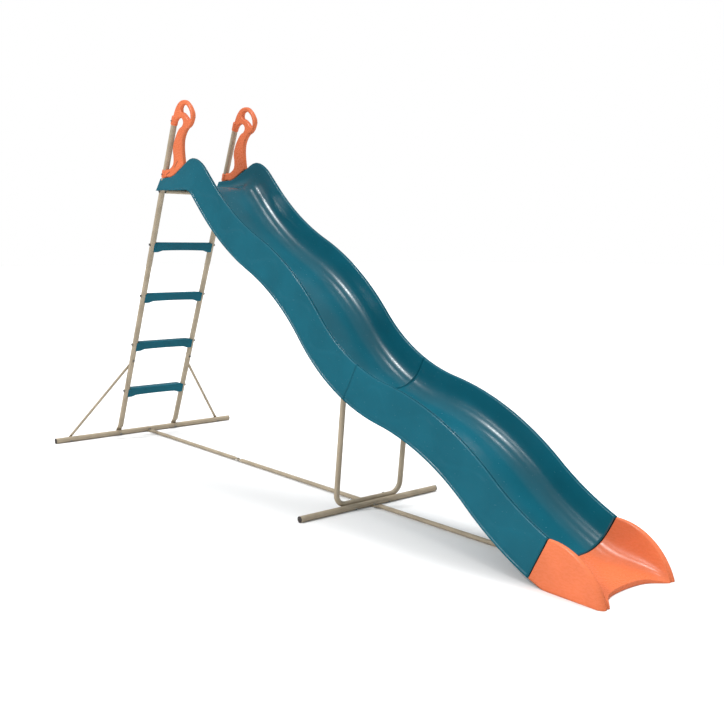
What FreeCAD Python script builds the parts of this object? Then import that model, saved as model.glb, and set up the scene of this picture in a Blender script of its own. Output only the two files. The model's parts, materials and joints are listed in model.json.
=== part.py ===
"""Wave slide with a four-step ladder.

A free-standing garden slide: a moulded chute in two lengths with an exit section, carried at the
top by a leaning steel ladder and in the middle by a bent steel hoop, all tied together along the
ground. +X runs from the ladder to the exit, +Z is up and the ground is Z = 0. The right-hand side
of somebody climbing the ladder is -Y. The origin is on the ground, below the middle of the slide.
"""
import FreeCAD, Part
import math
import os

V = FreeCAD.Vector

# ---- moulded chute ----
WALL = 4.0                # thickness of every moulded wall
RIM_HALF = 206.0          # half width over the top of the outer skirts
SKIRT_HALF = 220.0        # half width over the bottom of the outer skirts
CHANNEL_HALF = 190.0      # half width of the channel at the rim
FLOOR_HALF = 180.0        # half width of the channel where its walls would meet the floor
CHANNEL_DEPTH = 148.0     # rim above floor
SKIRT_DROP = 25.0         # skirt below floor
CORNER_RADIUS = 90.0      # channel corner between wall and floor
RIM_RADIUS = 6.0          # rounding of the rim's edges

# ---- wave: heading is the downward slope in degrees, radii are those of the floor ----
DECK_LENGTH = 308.0       # level floor from the rails to the crest
CREST_HEADING = 44.3
CREST_RADIUS = 110.0
STRAIGHT_RUN = 112.8      # straight stretch below the crest
HOLLOW_1_HEADING = 24.0
HOLLOW_1_RADIUS = 1573.0
HUMP_1_HEADING = 48.1
HUMP_1_RADIUS = 1263.0
JOINT_HEADING = 25.0      # slope where the upper and lower chutes meet
HOLLOW_2_HEADING = 11.0
HOLLOW_2_RADIUS = 972.0
HUMP_2_HEADING = 39.5
HUMP_2_RADIUS = 1147.0
EXIT_HEADING = 24.5       # slope where the exit section begins
HOLLOW_3_RADIUS = 1353.0

# ---- deck end of the upper chute ----
DECK_WALL = 55.0          # height of the low wall at the rails
LOW_WALL_RUN = 62.0       # level top of the low wall in front of the rail
DECK_END = 22.0           # deck behind the rail's axis
POCKET_HALF = 168.0       # half width of the channel between the rails
LOW_WALL_BEND = 70.0
CREST_BEND = 110.0
CREST_TOP_RUN = 25.0

# ---- exit section ----
EXIT_FLOOR_Z = 20.0       # level floor above the ground
EXIT_FLOOR_RADIUS = 310.0
EXIT_LENGTH = 305.0       # from the joint to the tips of the fins
LIP_SETBACK = 66.0        # front lip behind the tips
LIP_HALF = 105.0          # half width of the lip's straight stretch
FIN_GAP_HALF = 184.0      # half width between the fins at their tips
LIP_BEND = 70.0
FIN_RADIUS = 296.0
HEEL_RUN = 55.0           # ground contact begins this far in front of the joint

# ---- ladder ----
RAIL_RADIUS = 16.0
RAIL_HALF = 193.0         # rail axis from the middle
RAIL_LEAN = 24.2          # degrees from upright
TUBE_WALL = 1.5
RAIL_FOOT_REACH = 20.0    # flattened foot above its bolt
RAIL_JOINT_Z = 480.0      # where the lower rail tube ends and the upper one begins
SPIGOT_LENGTH = 60.0
RAIL_TOP_ABOVE_DECK = 365.0
STEP_PITCH = 300.0
STEP_GAP_AT_DECK = 297.0  # deck floor above the top step
STEP_THICK = 4.0
STEP_DEPTH = 82.0
STEP_SKIRT = 58.0
STEP_ARCH = 13.0          # rise of the arch under the front skirt
STEP_HALF = 190.0         # half length of the front skirt
STEP_LAP = 0.3            # clearance between the front skirt and the rails
STEP_REAR_SKIRT = 30.0
RUNG_RADIUS = 10.0
FOOT_BAR_LENGTH = 1219.0
BRACE_RADIUS = 8.0
BRACE_FOOT_HALF = 517.0
BRACE_TOP_Z = 465.0
PLUG_CAP = 3.0            # end plug outside its tube
PLUG_DEPTH = 20.0
CROSSBAR_RADIUS = 11.0    # bar between the rails under the deck
DECK_SCREW_HALF = 60.0
LOW_NUT = 4.0

# ---- support hoop and ground bars ----
SUPPORT_REACH = 2249.0    # support foot bar in front of the ladder foot bar
HOOP_RADIUS = 12.5
HOOP_HALF = 191.0
HOOP_LEAN = 6.5           # degrees, towards the exit
HOOP_BEND = 55.0
HOOP_INSET = 45.0         # leg ends this far above the skirt's lower edge
SUPPORT_BAR_RADIUS = 14.0
SUPPORT_BAR_LENGTH = 818.0
TIE_RADIUS = 9.5
TIE_Z = 12.0
TIE_JOINT_SHARE = 0.49    # joint of the rear and middle tie bars, along the way to the support
HOOP_BOLT_HALF = 100.0    # outer bolts of the hoop's foot, from the middle
HOOP_BOLT_TILT = 34.0     # the hoop lies behind and above its foot bar
HOOP_SCREW_DOWN = 22.0    # screw below the end of a leg
BOSS_RADIUS = 10.0
BOSS_LENGTH = 11.0
SCREW_REACH = 21.0        # screw beyond the axis of a leg
TIE_FOOT_Z = 2.6          # middle of a tie bar's flattened end beside a foot bar
SUPPORT_LUG_Z = 10.5      # bolt that holds the tie bars to the support foot bar
ANCHOR_RUN = 40.0         # front end of the tie bars, in front of the exit joint
ANCHOR_BOLT_DEPTH = 12.0
SUPPORT_LUG_TOP = 17.0
LUG_FLAT = 14.0           # low flat between a lug and the taper

# ---- fasteners and fits ----
BOLT_RADIUS = 4.0
SMALL_BOLT_RADIUS = 3.0
BOLT_TAIL = 1.9           # bolt beyond the face under its nut, over its radius
HOLE_CLEARANCE = 0.3
SLEEVE_CLEARANCE = 0.3
PINCH = 3.0               # half thickness of a rail's flattened end
THIN_PINCH = 1.8          # half thickness of a thinner tube's flattened end
FLAT_WIDENING = 1.15      # flattened width over tube diameter
TAPER = 1.8               # length of a taper over tube radius
HANDLE_HALF = 16.0        # half thickness of a handle
SLEEVE_WALL = 4.5         # handle's plastic round a rail
SLEEVE_LOW = 285.0        # sleeve over the rail's top, above the rim of the deck
SLEEVE_HIGH = 316.0
RING_HIGH = 42.0          # ring round the rail, above the rim of the deck
SLOT_HALF = 4.5
SLOT_DEPTH = 3.0
HANDLE_SCREW_RADIUS = 2.5
FLANGE_DROP = 22.0        # joint flange below the floor's underside
FLANGE_HALF = 125.0
FLANGE_BOLT_HALF = 90.0

SIDES = {"left": 1, "right": -1}


# ---------------------------------------------------------------- geometry helpers
def forward(heading):
    """Unit vector along the chute at a downward heading."""
    angle = math.radians(heading)
    return V(math.cos(angle), 0, -math.sin(angle))


def upward(heading):
    """Unit vector square to the floor at a downward heading."""
    angle = math.radians(heading)
    return V(math.sin(angle), 0, math.cos(angle))


def corner_arc(before, corner, after, radius):
    """Tangent points and middle point of an arc that rounds a corner."""
    towards_a = (before - corner).normalize()
    towards_b = (after - corner).normalize()
    half = towards_a.getAngle(towards_b) / 2
    reach = radius / math.tan(half)
    bisector = (towards_a + towards_b).normalize()
    middle = corner + bisector * (radius / math.sin(half) - radius)
    return corner + towards_a * reach, middle, corner + towards_b * reach


def rounded_edges(points, radii, closed):
    """Straight edges through the points, with an arc at each corner that has a radius."""
    count = len(points)
    entry = list(points)
    leave = list(points)
    arcs = [None] * count
    for i in range(count):
        if radii[i] <= 0:
            continue
        entry[i], middle, leave[i] = corner_arc(
            points[i - 1], points[i], points[(i + 1) % count], radii[i])
        arcs[i] = Part.Arc(entry[i], middle, leave[i]).toShape()
    edges = []
    for i in range(count if closed else count - 1):
        after = (i + 1) % count
        if arcs[i]:
            edges.append(arcs[i])
        if leave[i].distanceToPoint(entry[after]) > 1e-6:
            edges.append(Part.makeLine(leave[i], entry[after]))
    if not closed and arcs[-1]:
        edges.append(arcs[-1])
    return edges


def rounded_face(points, radii):
    """Flat face inside a closed outline with rounded corners."""
    return Part.Face(Part.Wire(rounded_edges(points, radii, True)))


def cylinder(start, end, radius):
    axis = end - start
    return Part.makeCylinder(radius, axis.Length, start, axis)


def pipe(start, end, radius, wall):
    """Straight tube, open at both ends."""
    return cylinder(start, end, radius).cut(cylinder(start, end, radius - wall))


def hexagon(start, axis, across, height):
    """Hexagonal prism that stands on a point along an axis."""
    circle = Part.makePolygon([V(across / math.sqrt(3) * math.cos(math.radians(60 * i)),
                                 across / math.sqrt(3) * math.sin(math.radians(60 * i)), 0)
                               for i in range(7)])
    prism = Part.Face(circle).extrude(V(0, 0, height))
    prism.Placement = FreeCAD.Placement(start, FreeCAD.Rotation(V(0, 0, 1), axis))
    return prism


def bolt(start, end, radius):
    """Hexagon-headed bolt whose head bears at start, and whose nut bears at end."""
    axis = (end - start).normalize()
    head = hexagon(start - axis * 1.3 * radius, axis, 3.25 * radius, 1.3 * radius)
    return head.fuse(cylinder(start - axis * 0.1, end + axis * BOLT_TAIL * radius, radius))


def nut(end, axis, radius):
    """Hexagon nut that bears at a point, on the side that the axis points to."""
    axis = V(axis).normalize()
    body = hexagon(end, axis, 3.25 * radius, 1.5 * radius)
    return body.cut(cylinder(end - axis, end + axis * 2 * radius, radius + 0.05))


def hole(start, end, radius):
    """Clearance hole for a bolt."""
    return cylinder(start, end, radius + HOLE_CLEARANCE)


def oval(centre, axis, wide, half_width, half_thick):
    """Elliptical or round wire square to an axis, with its long side along the given direction."""
    if half_width > half_thick:
        curve = Part.Ellipse(V(0, 0, 0), half_width, half_thick)
    else:
        curve = Part.Circle(V(0, 0, 0), V(0, 0, 1), half_width)
    wire = Part.Wire([curve.toShape()])
    turn = FreeCAD.Rotation(wide, axis.cross(wide), axis, "ZXY")
    wire.Placement = FreeCAD.Placement(centre, turn)
    return wire


def flattened_end(bolt_point, into_tube, normal, radius, half_thick, reach, shift):
    """Flat bolted end of a tube and its taper. Returns the solid and where the round tube begins."""
    wide = normal.cross(into_tube).normalize()
    half_width = FLAT_WIDENING * radius
    root = bolt_point + into_tube * reach
    flat = Part.Face(oval(bolt_point, into_tube, wide, half_width, half_thick))
    shank = flat.extrude(root - bolt_point)
    past = flat.extrude(into_tube * -half_width)
    nose = past.common(cylinder(bolt_point - normal * radius, bolt_point + normal * radius, half_width))
    tube_start = root + into_tube * TAPER * radius + normal * shift
    round_end = oval(tube_start, into_tube, wide, radius, radius)
    cone = Part.makeLoft([oval(root, into_tube, wide, half_width, half_thick), round_end], True, True)
    return nose.fuse(shank).fuse(cone), tube_start


def place_section(face, origin, heading):
    """Put a section drawn in the YZ plane on the floor line, square to it."""
    placed = face.copy()
    turn = FreeCAD.Rotation(V(0, 1, 0), heading)
    placed.Placement = FreeCAD.Placement(origin, turn)
    return placed


def segment_end(start, segment):
    """End point of one stretch: (heading before, heading after, radius or length)."""
    before, after, size = segment
    if before == after:
        return start + forward(before) * size
    side = 1 if after > before else -1
    centre = start - upward(before) * side * size
    return centre + upward(after) * side * size


def sweep(face, start, segments):
    """Carry a section along straight stretches and arcs of the floor line."""
    solids = []
    for before, after, size in segments:
        section = place_section(face, start, before)
        if before == after:
            solids.append(section.extrude(forward(before) * size))
        else:
            side = 1 if after > before else -1
            centre = start - upward(before) * side * size
            solids.append(section.revolve(centre, V(0, side, 0), abs(after - before)))
        start = segment_end(start, (before, after, size))
    whole = solids[0]
    if len(solids) > 1:
        whole = solids[0].multiFuse(solids[1:])
    return whole


# ---------------------------------------------------------------- where things are
UPPER_WAVE = [
    (0, CREST_HEADING, CREST_RADIUS),
    (CREST_HEADING, CREST_HEADING, STRAIGHT_RUN),
    (CREST_HEADING, HOLLOW_1_HEADING, HOLLOW_1_RADIUS),
    (HOLLOW_1_HEADING, HUMP_1_HEADING, HUMP_1_RADIUS),
    (HUMP_1_HEADING, JOINT_HEADING, HOLLOW_2_RADIUS),
]
LOWER_WAVE = [
    (JOINT_HEADING, HOLLOW_2_HEADING, HOLLOW_2_RADIUS),
    (HOLLOW_2_HEADING, HUMP_2_HEADING, HUMP_2_RADIUS),
    (HUMP_2_HEADING, EXIT_HEADING, HOLLOW_3_RADIUS),
]


def follow(start, segments):
    for segment in segments:
        start = segment_end(start, segment)
    return start


FALL = follow(V(0, 0, 0), UPPER_WAVE + LOWER_WAVE + [(EXIT_HEADING, 0, EXIT_FLOOR_RADIUS)])
DECK_Z = EXIT_FLOOR_Z - FALL.z
LEAN = math.tan(math.radians(RAIL_LEAN))
RAIL_AXIS = V(math.sin(math.radians(RAIL_LEAN)), 0, math.cos(math.radians(RAIL_LEAN)))
RAIL_FRONT = V(RAIL_AXIS.z, 0, -RAIL_AXIS.x)
RAIL_SET = -2 * PINCH / RAIL_AXIS.z


def measure_length():
    """Reach behind the ladder foot bar's axis, and from there forward to the tips of the fins."""
    rail_at_deck = RAIL_SET + (DECK_Z - RAIL_RADIUS) * LEAN
    run = follow(V(0, 0, 0), UPPER_WAVE + LOWER_WAVE).x
    return RAIL_RADIUS + 2 * PINCH + BOLT_TAIL * BOLT_RADIUS, rail_at_deck + DECK_LENGTH + run + EXIT_LENGTH


BACK, FRONT = measure_length()
LADDER_X = -(FRONT - BACK) / 2


def rail_point(z, side):
    """Point on a rail's axis at a height."""
    return V(LADDER_X + RAIL_SET + (z - RAIL_RADIUS) * LEAN, side * RAIL_HALF, z)


CREST = V(rail_point(DECK_Z, 0).x + DECK_LENGTH, 0, DECK_Z)
JOINT = follow(CREST, UPPER_WAVE)
EXIT_JOINT = follow(JOINT, LOWER_WAVE)
SUPPORT_X = LADDER_X + SUPPORT_REACH
STEP_TOPS = [DECK_Z - STEP_GAP_AT_DECK - STEP_PITCH * i
             for i in range(int((DECK_Z - STEP_GAP_AT_DECK) // STEP_PITCH) - 1, -1, -1)]
SUPPORT_BAR = V(SUPPORT_X, 0, SUPPORT_BAR_RADIUS)
LADDER_BAR = V(LADDER_X, 0, RAIL_RADIUS)
HOOP_TO_BAR = V(math.cos(math.radians(HOOP_BOLT_TILT)), 0, -math.sin(math.radians(HOOP_BOLT_TILT)))
HOOP_FOOT = SUPPORT_BAR - HOOP_TO_BAR * (SUPPORT_BAR_RADIUS + HOOP_RADIUS)
HOOP_AXIS = V(math.sin(math.radians(HOOP_LEAN)), 0, math.cos(math.radians(HOOP_LEAN)))


# ---------------------------------------------------------------- sections of the chute
def skin_points():
    """Upper face of the moulded skin, from one skirt over the channel to the other skirt."""
    right = [(SKIRT_HALF, -SKIRT_DROP), (RIM_HALF, CHANNEL_DEPTH),
             (CHANNEL_HALF, CHANNEL_DEPTH), (FLOOR_HALF, 0)]
    return [V(0, y, h) for y, h in right] + [V(0, -y, h) for y, h in reversed(right)]


def shift_outline(points, distance):
    """Open outline moved sideways, to the right of its direction, with its ends kept level."""
    moved = []
    for i, point in enumerate(points):
        sides = []
        for a, b in ((i - 1, i), (i, i + 1)):
            if a < 0 or b >= len(points):
                continue
            along = (points[b] - points[a]).normalize()
            sides.append((V(0, along.z, -along.y), points[a]))
        if len(sides) == 1:
            square, through = sides[0]
            level = V(0, 1, 0) * (distance / square.y)
            moved.append(point + level)
        else:
            (n1, a1), (n2, a2) = sides
            bisector = n1 + n2
            moved.append(point + bisector * (distance / (1 + n1.dot(n2))))
    return moved


def skin_section():
    """Cross-section of the double-walled chute: channel, rims and outer skirts, open below."""
    top = skin_points()
    under = shift_outline(top, -WALL)
    rim = RIM_RADIUS
    inner_rim = RIM_RADIUS - WALL
    top_radii = [0, rim, rim, CORNER_RADIUS, CORNER_RADIUS, rim, rim, 0]
    under_radii = [0, inner_rim, inner_rim, CORNER_RADIUS + WALL, CORNER_RADIUS + WALL,
                   inner_rim, inner_rim, 0]
    return rounded_face(top + under[::-1], top_radii + under_radii[::-1])


def channel_section(rim_half, foot_half, grow, height):
    """Space inside the channel, grown outwards all round, up to a height above the floor."""
    lean = (rim_half - foot_half) / CHANNEL_DEPTH
    spread = grow * math.sqrt(1 + lean * lean)
    foot = foot_half - lean * grow + spread
    top = foot_half + lean * height + spread
    points = [V(0, top, height), V(0, foot, -grow), V(0, -foot, -grow), V(0, -top, height)]
    bend = CORNER_RADIUS + grow
    return rounded_face(points, [0, bend, bend, 0])


def body_section(inset):
    """Outline of the chute with its channel filled in, drawn in by an inset."""
    lean = (SKIRT_HALF - RIM_HALF) / (CHANNEL_DEPTH + SKIRT_DROP)
    spread = inset * math.sqrt(1 + lean * lean)
    top = CHANNEL_DEPTH - inset
    low = -SKIRT_DROP - (1 if inset else 0)
    top_half = SKIRT_HALF - lean * (top + SKIRT_DROP) - spread
    low_half = SKIRT_HALF - lean * (low + SKIRT_DROP) - spread
    bend = RIM_RADIUS - inset
    return rounded_face([V(0, low_half, low), V(0, top_half, top), V(0, -top_half, top),
                         V(0, -low_half, low)], [0, bend, bend, 0])


# ---------------------------------------------------------------- chute pieces
def deck_profile(inset):
    """Side view of the deck end: level low wall at the rails, then a rise to the crest."""
    low_top = DECK_Z + DECK_WALL - inset
    full_top = DECK_Z + CHANNEL_DEPTH - inset
    bottom = DECK_Z - SKIRT_DROP - (1 if inset else 0)
    end = inset / RAIL_AXIS.z - DECK_END
    wall_end = rail_point(DECK_Z, 0).x + LOW_WALL_RUN + 0.3 * inset
    return rounded_face(
        [V(rail_point(bottom, 0).x + end, 0, bottom),
         V(rail_point(low_top, 0).x + end, 0, low_top),
         V(wall_end, 0, low_top),
         V(CREST.x - CREST_TOP_RUN, 0, full_top),
         V(CREST.x, 0, full_top),
         V(CREST.x, 0, bottom)],
        [0, 0, LOW_WALL_BEND - inset, CREST_BEND - inset, 0, 0])


def block(profile, half):
    """Side view carried across the slide."""
    thick = profile.extrude(V(0, 2 * half, 0))
    thick.translate(V(0, -half, 0))
    return thick


def deck_channel(grow, height):
    """Channel over the deck, narrower between the rails than at the crest."""
    run = CREST.x - rail_point(DECK_Z, 0).x + 2 * DECK_END
    narrow = channel_section(POCKET_HALF, POCKET_HALF - 8, grow, height)
    wide = channel_section(CHANNEL_HALF, FLOOR_HALF, grow, height)
    back = place_section(narrow, CREST - V(run, 0, 0), 0)
    front = place_section(wide, CREST, 0)
    return Part.makeLoft([back.OuterWire, front.OuterWire], True, True)


def deck_end():
    """Deck between the rails, with a pocket inside each low wall for the rail."""
    run = CREST.x - rail_point(DECK_Z, 0).x + 3 * DECK_END
    start = CREST - V(run, 0, 0)
    outer = place_section(body_section(0), start, 0).extrude(V(run, 0, 0))
    inner = place_section(body_section(WALL), start, 0).extrude(V(run, 0, 0))
    outer = outer.common(block(deck_profile(0), 2 * SKIRT_HALF))
    inner = inner.common(block(deck_profile(WALL), 2 * SKIRT_HALF))
    shell = outer.cut(deck_channel(0, 2 * CHANNEL_DEPTH))
    return shell.cut(inner.cut(deck_channel(WALL, 2 * CHANNEL_DEPTH)))


def joint_flange(origin, heading, side):
    """Flange below the floor at the end of a chute, on one side of the joint plane."""
    top = -WALL / 2
    low = -WALL - FLANGE_DROP
    points = [V(0, FLANGE_HALF, top), V(0, FLANGE_HALF, low), V(0, -FLANGE_HALF, low), V(0, -FLANGE_HALF, top)]
    flange = place_section(rounded_face(points, [0, RIM_RADIUS, RIM_RADIUS, 0]), origin, heading)
    return flange.extrude(forward(heading) * side * WALL)


def flange_bolt_line(origin, heading, y):
    """Ends of a flange bolt's grip."""
    centre = origin - upward(heading) * (WALL + FLANGE_DROP / 2) + V(0, y, 0)
    return centre - forward(heading) * WALL, centre + forward(heading) * WALL


def flange_holes(origin, heading):
    holes = []
    for y in (-FLANGE_BOLT_HALF, 0, FLANGE_BOLT_HALF):
        start, end = flange_bolt_line(origin, heading, y)
        holes.append(hole(start - forward(heading), end + forward(heading), SMALL_BOLT_RADIUS))
    return holes


def hoop_leg_top(side):
    """Top of a hoop leg, inside the double wall below the second hollow."""
    hollow_start = follow(CREST, UPPER_WAVE[:-1])
    centre = hollow_start + upward(HUMP_1_HEADING) * HOLLOW_2_RADIUS
    along = (centre - HOOP_FOOT).dot(HOOP_AXIS)
    aside = (centre - HOOP_FOOT - HOOP_AXIS * along).Length
    floor = along - math.sqrt(HOLLOW_2_RADIUS ** 2 - aside ** 2)
    return HOOP_FOOT + HOOP_AXIS * (floor - SKIRT_DROP + HOOP_INSET) + V(0, side * HOOP_HALF, 0)


def hoop_boss(side):
    """Boss inside the skirt that a hoop leg is screwed to."""
    top = hoop_leg_top(side) - HOOP_AXIS * HOOP_SCREW_DOWN
    start = V(top.x, side * (HOOP_HALF + HOOP_RADIUS + SLEEVE_CLEARANCE), top.z)
    return cylinder(start, start + V(0, side * BOSS_LENGTH, 0), BOSS_RADIUS)


def upper_chute():
    """Deck, crest, first hollow and first hump."""
    chute = sweep(skin_section(), CREST, UPPER_WAVE).fuse(deck_end())
    chute = chute.fuse(joint_flange(JOINT, JOINT_HEADING, -1))
    for side in SIDES.values():
        chute = chute.fuse(hoop_boss(side))
        rail = cylinder(rail_point(DECK_Z - 100, side), rail_point(DECK_Z + 200, side),
                        RAIL_RADIUS + SLEEVE_CLEARANCE)
        chute = chute.cut(rail)
        top = hoop_leg_top(side) - HOOP_AXIS * HOOP_SCREW_DOWN
        inside = V(top.x, side * HOOP_HALF, top.z)
        chute = chute.cut(cylinder(inside, inside + V(0, side * SCREW_REACH, 0), SMALL_BOLT_RADIUS))
    for start, end in deck_screw_lines():
        chute = chute.cut(hole(start + V(0, 0, 20), end, SMALL_BOLT_RADIUS))
    for cutter in flange_holes(JOINT, JOINT_HEADING):
        chute = chute.cut(cutter)
    return chute


def lower_chute():
    """Second hollow and hump, down to the exit section."""
    chute = sweep(skin_section(), JOINT, LOWER_WAVE)
    chute = chute.fuse(joint_flange(JOINT, JOINT_HEADING, 1))
    chute = chute.fuse(joint_flange(EXIT_JOINT, EXIT_HEADING, -1))
    for cutter in flange_holes(JOINT, JOINT_HEADING) + flange_holes(EXIT_JOINT, EXIT_HEADING):
        chute = chute.cut(cutter)
    return chute


# ---------------------------------------------------------------- exit section
def fin_profile(inset):
    """Side view of the exit section: joint, curved fin, ground and heel."""
    up = upward(EXIT_HEADING)
    low = EXIT_JOINT - up * SKIRT_DROP
    high = EXIT_JOINT + up * CHANNEL_DEPTH
    tip = V(EXIT_JOINT.x + EXIT_LENGTH, 0, 0)
    chord = tip - high
    square = V(-chord.z, 0, chord.x).normalize()
    middle = (tip + high) * 0.5
    centre = middle - square * (-1 if square.z < 0 else 1) * math.sqrt(FIN_RADIUS ** 2 - (chord.Length / 2) ** 2)
    radius = FIN_RADIUS - inset
    bottom = -1 if inset else 0
    join = forward(EXIT_HEADING) * inset
    # where the inset arc meets the joint line and the ground
    along = (high - centre).dot(up)
    away = (high + join - centre).dot(forward(EXIT_HEADING))
    start = centre + forward(EXIT_HEADING) * away + up * math.sqrt(radius ** 2 - away ** 2)
    reach = math.sqrt(radius ** 2 - (bottom - centre.z) ** 2)
    end = V(centre.x + reach, 0, bottom)
    half_way = (start + end) * 0.5 - centre
    crown = centre + half_way.normalize() * radius
    heel = V(EXIT_JOINT.x + HEEL_RUN, 0, bottom)
    low = low + join - up * (2 * abs(bottom))
    edges = [Part.makeLine(low, start), Part.Arc(start, crown, end).toShape(),
             Part.makeLine(end, heel), Part.makeLine(heel, low)]
    return Part.Face(Part.Wire(edges))


def exit_sides(inset):
    """Block between the outer faces of the skirts, as wide as the chute at the joint."""
    up = upward(EXIT_HEADING)
    low_z = (EXIT_JOINT - up * SKIRT_DROP).z
    high_z = (EXIT_JOINT + up * CHANNEL_DEPTH).z
    lean = (SKIRT_HALF - RIM_HALF) / (high_z - low_z)
    spread = inset * math.sqrt(1 + lean * lean)
    bottom = -5
    top = high_z + 20 - inset
    low_half = SKIRT_HALF + lean * (low_z - bottom) - spread
    top_half = SKIRT_HALF + lean * (low_z - top) - spread
    face = rounded_face([V(0, low_half, bottom), V(0, top_half, top), V(0, -top_half, top),
                         V(0, -low_half, bottom)], [0, 0, 0, 0])
    start = place_section(face, V(EXIT_JOINT.x - CHANNEL_DEPTH, 0, 0), 0)
    return start.extrude(V(EXIT_LENGTH + 2 * CHANNEL_DEPTH, 0, 0))


def exit_channel(grow):
    """Space over the run-out, from the joint past the tips."""
    section = channel_section(CHANNEL_HALF, FLOOR_HALF, grow, 1.3 * CHANNEL_DEPTH)
    return sweep(section, EXIT_JOINT, [(EXIT_HEADING, 0, EXIT_FLOOR_RADIUS), (0, 0, EXIT_LENGTH)])


def lip_gap(grow):
    """Space in front of the lip, between the tips of the fins."""
    lip = EXIT_JOINT.x + EXIT_LENGTH - LIP_SETBACK - grow
    ahead = lip + 3 * LIP_SETBACK
    widening = (FIN_GAP_HALF - LIP_HALF) / LIP_SETBACK
    near = LIP_HALF + grow
    far = near + widening * 3 * LIP_SETBACK
    points = [V(lip, near, -10), V(lip, -near, -10), V(ahead, -far, -10), V(ahead, far, -10)]
    face = rounded_face(points, [LIP_BEND, LIP_BEND, 0, 0])
    return face.extrude(V(0, 0, 3 * CHANNEL_DEPTH))


def anchor_point():
    """Where the front tie bar is bolted up under the run-out."""
    return V(EXIT_JOINT.x + ANCHOR_RUN, 0, TIE_Z + THIN_PINCH)


def anchor_boss():
    """Boss under the run-out for the front tie bar's bolt."""
    point = anchor_point()
    return cylinder(point, point + V(0, 0, CHANNEL_DEPTH / 2), BOSS_RADIUS).cut(exit_channel(0))


def exit_section():
    """Run-out between two rounded fins, open below, with a curved front lip."""
    outer = block(fin_profile(0), 2 * SKIRT_HALF).common(exit_sides(0)).cut(lip_gap(0))
    inner = block(fin_profile(WALL), 2 * SKIRT_HALF).common(exit_sides(WALL)).cut(lip_gap(WALL))
    shell = outer.cut(exit_channel(0)).cut(inner.cut(exit_channel(WALL)))
    shell = shell.fuse(anchor_boss())
    point = anchor_point()
    shell = shell.cut(cylinder(point - V(0, 0, 1), point + V(0, 0, ANCHOR_BOLT_DEPTH), SMALL_BOLT_RADIUS))
    for cutter in flange_holes(EXIT_JOINT, EXIT_HEADING):
        shell = shell.cut(cutter)
    return shell


# ---------------------------------------------------------------- handles
def from_rail(run, rise):
    """Point beside the slide, from where a rail's axis crosses the rim of the deck."""
    foot = rail_point(DECK_Z + DECK_WALL, 0)
    return V(foot.x + run, 0, foot.z + rise)


def smooth_line(points):
    curve = Part.BSplineCurve()
    curve.interpolate([from_rail(run, rise) for run, rise in points])
    return curve.toShape()


def handle_face():
    """Side view of a handle: a loop in front of the rail's top, on a foot along the rim."""
    loop = [(108, 285), (133, 345), (169, 377), (212, 392), (257, 393), (302, 377), (336, 347),
            (353, 310), (348, 272), (320, 243), (280, 225), (252, 204), (235, 176), (230, 146),
            (231, 118), (244, 80)]
    gap = [(104, 77), (103, 107), (109, 147), (130, 187), (161, 225), (196, 250), (221, 270),
           (218, 290), (202, 302), (176, 298), (155, 283)]
    foot = [(244, 80), (244, -20), (-37, -20), (-37, 27), (-17, 48), (42, 48), (84, 58), (104, 77)]
    corners = [from_rail(run, rise) for run, rise in foot]
    edges = [smooth_line(loop)]
    edges += rounded_edges(corners, [0, 0, 0, 10, 10, 20, 12, 0], False)
    edges += [smooth_line(gap), Part.makeLine(from_rail(155, 283), from_rail(108, 285))]
    return Part.Face(Part.Wire(Part.sortEdges(edges)[0]))


def hand_hole():
    """Rounded three-cornered opening through a handle's loop."""
    corners = [(219, 358), (262, 362), (302, 318), (290, 294), (250, 310)]
    return rounded_face([from_rail(run, rise) for run, rise in corners], [8, 14, 8, 8, 18])


def handle_slot(low, high, side):
    """Shallow slot in the outer face of a handle's foot."""
    start = from_rail(*low) + V(0, side * (RAIL_HALF + HANDLE_HALF - SLOT_DEPTH), 0)
    end = from_rail(*high) + V(0, side * (RAIL_HALF + HANDLE_HALF - SLOT_DEPTH), 0)
    along = (end - start).normalize()
    across = V(along.z, 0, -along.x) * SLOT_HALF
    face = rounded_face([start + across, end + across, end - across, start - across],
                        [0.9 * SLOT_HALF] * 4)
    return face.extrude(V(0, side * 2 * SLOT_DEPTH, 0))


def handle(side):
    """Handle with a closed sleeve over the rail's top and a ring round the rail at the deck."""
    middle = V(0, side * RAIL_HALF, 0)
    plate = handle_face()
    plate.translate(middle - V(0, HANDLE_HALF, 0))
    body = plate.extrude(V(0, 2 * HANDLE_HALF, 0))
    opening = hand_hole()
    opening.translate(middle - V(0, 2 * HANDLE_HALF, 0))
    body = body.cut(opening.extrude(V(0, 4 * HANDLE_HALF, 0)))
    rim_z = DECK_Z + DECK_WALL
    outside = RAIL_RADIUS + SLEEVE_CLEARANCE + SLEEVE_WALL
    sleeve = cylinder(rail_point(rim_z + SLEEVE_LOW, side), rail_point(rim_z + SLEEVE_HIGH, side), outside)
    ring = cylinder(rail_point(rim_z - RAIL_RADIUS, side), rail_point(rim_z + RING_HIGH, side), outside)
    body = body.fuse(sleeve).fuse(ring)
    rail = cylinder(rail_point(DECK_Z - CHANNEL_DEPTH, side), rail_point(DECK_Z + RAIL_TOP_ABOVE_DECK, side),
                    RAIL_RADIUS + SLEEVE_CLEARANCE)
    body = body.cut(rail).cut(block(deck_profile(0), 2 * SKIRT_HALF))
    for low, high in (((47, 33), (97, 47)), ((152, 61), (193, 88))):
        body = body.cut(handle_slot(low, high, side))
    for start, end in handle_screw_lines(side):
        body = body.cut(hole(start, end, HANDLE_SCREW_RADIUS))
    return body


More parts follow.
